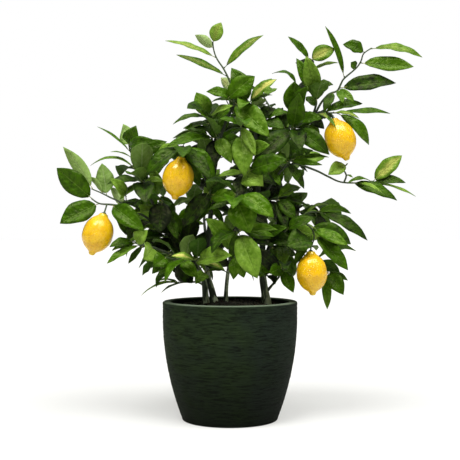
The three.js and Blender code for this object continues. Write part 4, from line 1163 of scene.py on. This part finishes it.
def leaf_point(leaf, t, s):
    """A point of the leaf: t goes along its blade to the tip, and s across it, from edge to edge."""
    way = (leaf["tip"] - leaf["root"]).normalized()
    left = leaf["face"].cross(way)
    half = leaf["width"] / 2 * blade_share(t)
    lift = leaf["fold"] * abs(s) + leaf_bulge * math.sin(math.pi * abs(s))
    lift += leaf["wave"] * s * s * math.sin(math.tau * leaf["waves"] * t + leaf["phases"][s > 0])
    turn = leaf["twist"] * (t - 0.5)
    across = left * math.cos(turn) + leaf["face"] * math.sin(turn)
    up = leaf["face"] * math.cos(turn) - left * math.sin(turn)
    sag = leaf["curl"] * leaf["width"] * max(0, t - 0.5) ** 2
    u = blade_from + (1 - blade_from) * t
    return spine(leaf, u) + across * (s * half) + up * (lift * half) - leaf["face"] * sag


def new_leaf_mesh():
    mesh = bmesh.new()
    mesh.loops.layers.uv.new("leaf")
    mesh.verts.layers.float.new("tone")
    mesh.verts.layers.float.new("yellowing")
    return mesh


def unfold_leaf(mesh, leaf):
    """A flat grid bent into one leaf."""
    leaf_map = mesh.loops.layers.uv["leaf"]
    tone_layer = mesh.verts.layers.float["tone"]
    yellow_layer = mesh.verts.layers.float["yellowing"]
    grid = bmesh.ops.create_grid(mesh, x_segments=leaf_rows, y_segments=leaf_columns, size=1)["verts"]
    for face in {face for point in grid for face in point.link_faces}:
        for loop in face.loops:
            loop[leaf_map].uv = ((loop.vert.co.x + 1) / 2, (loop.vert.co.y + 1) / 2)
    for point in grid:
        point.co = leaf_point(leaf, (point.co.x + 1) / 2, point.co.y)
        point[tone_layer] = leaf["tone"]
        point[yellow_layer] = leaf["yellow"]
    bmesh.ops.remove_doubles(mesh, verts=grid, dist=same_spot)


# ---- The twigs ----
# Smooth green twigs, angled and thin, with the leaf stalks, a small bud above each stalk, and the short
# woody stalks that hold the fruit in a five-lobed green calyx.
twig_sides = 8
twig_step = 0.004
twig_thick = (2.2, 1.8)
twig_thin = 1.15
stalk_sides = 6
stalk_radii = (1.15, 0.75, 0.75)
stalk_places = (0, 0.05, blade_from + 0.05)
bud_size = 0.0011
bud_place = 0.03
bud_lift = 0.0014
fruit_stalk_radius = 0.0015
fruit_stalk_bow = 0.003
fruit_gap = 0.0003
calyx_width = 0.0052
calyx_height = 0.0026
calyx_sides = 10
calyx_top = 1.3
calyx_notch = 0.62
calyx_foot = 0.8
palest_ruled = 0.55
habit_seed = 11

# The fruit that a shoot bears, and its place along the twig.
fruit_on = {
    "shoot_left_end": ("lemon_left_low", 0.45),
    "shoot_lemon_left": ("lemon_left_high", 0.85),
    "shoot_lemon_right_high": ("lemon_right_high", 0.7),
    "shoot_lemon_right_low": ("lemon_right_low", 1),
}

twig_finish = new_finish("green_twig")
twig_nodes = twig_finish.node_tree
twig_grain = noise_pattern(twig_nodes, surface_place(twig_nodes), scale=260, detail=4)
twig_greens = ((0.3, (0.014, 0.026, 0.007)), (0.75, (0.048, 0.086, 0.018)))
dress(twig_finish, {
    "Base Color": tinted(twig_nodes, twig_grain, twig_greens),
    "Roughness": 0.5,
    "Normal": relief(twig_nodes, twig_grain, 0.4, 0.0003),
})

stalk_finish = new_finish("leaf_stalk")
stalk_nodes = stalk_finish.node_tree
stalk_grain = noise_pattern(stalk_nodes, surface_place(stalk_nodes), scale=90)
stalk_greens = ((0.35, (0.045, 0.095, 0.016)), (0.7, (0.28, 0.29, 0.05)))
dress(stalk_finish, {
    "Base Color": tinted(stalk_nodes, stalk_grain, stalk_greens),
    "Roughness": 0.45,
})


def add_calyx(mesh, seat, up):
    """A low cone with every second corner of its foot drawn in, which leaves five lobes."""
    turn = Vector((0, 0, 1)).rotation_difference(up).to_matrix().to_4x4()
    stand = Matrix.Translation(seat + up * calyx_height / 2) @ turn
    cone = bmesh.ops.create_cone(
        mesh, cap_ends=True, segments=calyx_sides, radius1=calyx_width,
        radius2=fruit_stalk_radius * calyx_top, depth=calyx_height, matrix=stand,
    )["verts"]
    for i, point in enumerate(cone):
        if i // 2 % 2 and (point.co - seat).length > calyx_width * calyx_foot:
            point.co = seat + (point.co - seat) * calyx_notch


def add_fruit_stalk(mesh, route, ends, at):
    top, end = [place_on_plant(spot) for spot in ends]
    up = (top - end).normalized()
    start = leaf_root(route, at)[0]
    seat = top + up * fruit_gap
    crown = seat + up * calyx_height
    bow = start.lerp(crown, 0.5) + up * fruit_stalk_bow
    stalk = smooth_route([start, bow, crown], twig_step)
    grow_stem(mesh, stalk, [fruit_stalk_radius] * len(stalk), stalk_sides)
    add_calyx(mesh, seat, up)


def grow_leaf(leaf_mesh, twig_mesh, leaf):
    """A leaf with its stalk, and the bud above the stalk."""
    unfold_leaf(leaf_mesh, leaf)
    stalk = [spine(leaf, u) for u in stalk_places]
    grow_stem(twig_mesh, stalk, [radius / 1000 for radius in stalk_radii], stalk_sides, 1)
    seat = Matrix.Translation(spine(leaf, bud_place) + leaf["face"] * bud_lift)
    bmesh.ops.create_icosphere(twig_mesh, subdivisions=1, radius=bud_size, matrix=seat)


def add_foliage(name, leaf_mesh, twig_mesh, nodes):
    piece = add_piece(f"leaves_{name}", leaf_mesh, [upper_finish, under_finish], nodes)
    thick = piece.modifiers.new("thick", "SOLIDIFY")
    thick.thickness = leaf_thickness
    thick.offset = 0
    thick.material_offset = 1
    thick.material_offset_rim = 1
    bmesh.ops.recalc_face_normals(twig_mesh, faces=twig_mesh.faces)
    add_piece(f"twigs_{name}", twig_mesh, [twig_finish, stalk_finish], nodes)


noise.seed_set(habit_seed)
for name, leaves in shoot_leaves.items():
    leaf_mesh = new_leaf_mesh()
    twig_mesh = bmesh.new()
    for order, route in enumerate(shoot_routes[name]):
        eased = smooth_route(route, twig_step)
        last = len(eased) - 1
        thick = twig_thick[min(order, 1)]
        radii = [(thick * (1 - i / last) + twig_thin * i / last) / 1000 for i in range(last + 1)]
        grow_stem(twig_mesh, eased, radii, twig_sides)
    if name in fruit_on:
        fruit, at = fruit_on[name]
        add_fruit_stalk(twig_mesh, shoot_routes[name][0], lemons[fruit], at)
    for leaf in leaves:
        if leaf["tone"] is None:
            leaf["tone"] = palest_ruled * noise.random() ** 2
        give_habit(leaf)
        grow_leaf(leaf_mesh, twig_mesh, leaf)
    add_foliage(name.removeprefix("shoot_"), leaf_mesh, twig_mesh, [name])

# ---- The inner leaves ----
# All along the branches short side twigs bear smaller leaves, mostly given dark tones as painted shade deep
# in the crown, that close the crown between the long shoots. Each grows where it meets no other leaf, stem
# or fruit.
inner_seed = 23
spur_step = 0.013
spur_reach = (0.006, 0.028)
spur_rise = 0.5
spur_radii = (0.0012, 0.0012, 0.0008)
spur_leaves = 4
lowest_spur = 0.262

# The outline of the crown as seen from the front, and the gaps in it, (across, up, radius), in millimetres.
crown_outline = [
    (-120, 250), (-165, 262), (-205, 290), (-222, 330), (-212, 370), (-232, 405), (-228, 445),
    (-205, 480), (-205, 545), (-140, 545), (-122, 512), (-112, 545), (-70, 600), (-20, 605), (0, 650),
    (45, 645), (85, 625), (75, 590), (98, 580), (105, 640), (125, 675), (165, 682), (192, 640),
    (192, 600), (240, 590), (250, 560), (188, 540), (184, 488), (140, 470), (138, 430), (152, 402),
    (225, 388), (238, 345), (228, 285), (205, 235), (120, 240), (70, 262),
]
crown_gaps = [
    (-38, 356, 17), (-12, 474, 13), (-95, 386, 10), (74, 312, 12), (108, 436, 12), (-176, 414, 11),
    (-200, 345, 8), (112, 575, 8), (140, 585, 8), (155, 575, 8), (-22, 240, 30), (25, 240, 30),
    (-97, 446, 38), (-246, 342, 38), (205, 518, 38), (152, 270, 38),
]

# An inner leaf: where it starts along its side twig, how far it follows the twig, leans forward and
# hangs, its reach, width as a share of that, turn to the front, arch and palest tone.
inner_tries = 18
inner_from = 0.35
inner_follow = 0.4
inner_lean = Vector((0, -0.25, -0.15))
inner_reach = (0.036, 0.072)
inner_width = (0.42, 0.56)
inner_face = (-30, 85)
inner_arch = (0.04, 0.12)
inner_tone = 0.6

# The front view is counted in squares of so many millimetres. A leaf must hide enough new ones, may
# stray over few outside the crown, and keeps clear of the others.
cover_step = 4
cover_columns = (-0.8, -0.4, 0, 0.4, 0.8)
least_cover = 9
stray_cover = 3
net_rows = (0.02, 0.25, 0.5, 0.75, 0.97)
clearance = 0.0012


def seen(spot):
    """Where a place on the plant looks to be from the front, in millimetres across and up."""
    nearness = 1 + spot.y / camera_distance
    return spot.x * 1000 / nearness, (camera_height + (spot.z - camera_height) / nearness) * 1000


def in_crown(x, z):
    inside = False
    for (x1, z1), (x2, z2) in zip(crown_outline, crown_outline[1:] + crown_outline[:1]):
        if (z1 > z) != (z2 > z) and x < (x2 - x1) * (z - z1) / (z2 - z1) + x1:
            inside = not inside
    return inside and all(math.hypot(x - gap_x, z - gap_z) > r for gap_x, gap_z, r in crown_gaps)


def cover(leaf):
    """The squares of the front view that a leaf hides."""
    squares = set()
    way = (leaf["tip"] - leaf["root"]).normalized()
    across = leaf["face"].cross(way) * leaf["width"] / 2
    steps = max(6, round((leaf["tip"] - leaf["root"]).length * 1000 / cover_step))
    for i in range(1, steps + 1):
        t = i / (steps + 1)
        middle = spine(leaf, blade_from + (1 - blade_from) * t)
        for s in cover_columns:
            x, z = seen(middle + across * (s * blade_share(t)))
            squares.add((round(x / cover_step), round(z / cover_step)))
    return squares


def leaf_net(leaf):
    """A coarse sheet of the leaf, to find what it would touch."""
    places = [leaf_point(leaf, t, s) for t in net_rows for s in (-1, 0, 1)]
    corners = [3 * i + k for i in range(len(net_rows) - 1) for k in (0, 1)]
    quads = [(corner, corner + 1, corner + 4, corner + 3) for corner in corners]
    return bvhtree.BVHTree.FromPolygons(places, quads, epsilon=clearance)


plain_points = []
plain_faces = []
for name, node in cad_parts.items():
    if name not in ("pot", "soil"):
        start = len(plain_points)
        plain_points += [point.co.copy() for point in node.data.vertices]
        plain_faces += [[start + i for i in face.vertices] for face in node.data.polygons]
grown_nets = [bvhtree.BVHTree.FromPolygons(plain_points, plain_faces)]
covered = set().union(*[cover(leaf) for leaves in shoot_leaves.values() for leaf in leaves])


def inner_ways(foot, end, k):
    """The places that one leaf of a side twig can take, from the one that hides most to the least."""
    ways = []
    along = (end - foot).normalized()
    for n in range(inner_tries):
        root = foot.lerp(end, min(1, inner_from + (1 - inner_from) * (k + noise.random()) / spur_leaves))
        aim = Vector([draw_between(-1, 1) for axis in range(3)]).normalized()
        aim = (aim + along * inner_follow + inner_lean).normalized()
        reach = draw_between(*inner_reach)
        # Most inner leaves get dark tones, painted shade deep in the crown.
        leaf = {
            "root": root, "tip": root + aim * reach, "face": upper_side(aim, draw_between(*inner_face)),
            "width": reach * draw_between(*inner_width), "arch": draw_between(*inner_arch),
            "tone": inner_tone * noise.random() ** 2, "yellow": 0,
        }
        give_habit(leaf)
        squares = cover(leaf)
        if sum(not in_crown(x * cover_step, z * cover_step) for x, z in squares) <= stray_cover:
            ways.append((len(squares - covered), n, leaf))
    return sorted(ways, key=lambda way: (-way[0], way[1]))


noise.seed_set(inner_seed)
for name, branches in wood.items():
    leaf_mesh = new_leaf_mesh()
    twig_mesh = bmesh.new()
    for thick, thin, points in branches:
        route = smooth_route([place_on_plant(point) for point in points], spur_step)
        for spot, after in zip(route[1:], route[2:]):
            way = (after - spot).normalized()
            out = Vector([draw_between(-1, 1) for axis in range(3)])
            out = (out - way * out.dot(way)).normalized()
            end = spot + (out + way * spur_rise).normalized() * draw_between(*spur_reach)
            if spot.z < lowest_spur or not in_crown(*seen(end)):
                continue
            grew_here = False
            for k in range(spur_leaves):
                for gain, n, leaf in inner_ways(spot, end, k):
                    if gain < least_cover:
                        break
                    net = leaf_net(leaf)
                    if not any(net.overlap(other) for other in grown_nets):
                        grown_nets.append(net)
                        covered |= cover(leaf)
                        grow_leaf(leaf_mesh, twig_mesh, leaf)
                        grew_here = True
                        break
            if grew_here:
                grow_stem(twig_mesh, [spot, spot.lerp(end, 0.5), end], spur_radii, stalk_sides)
    add_foliage(name.replace("trunk", "within"), leaf_mesh, twig_mesh, [])
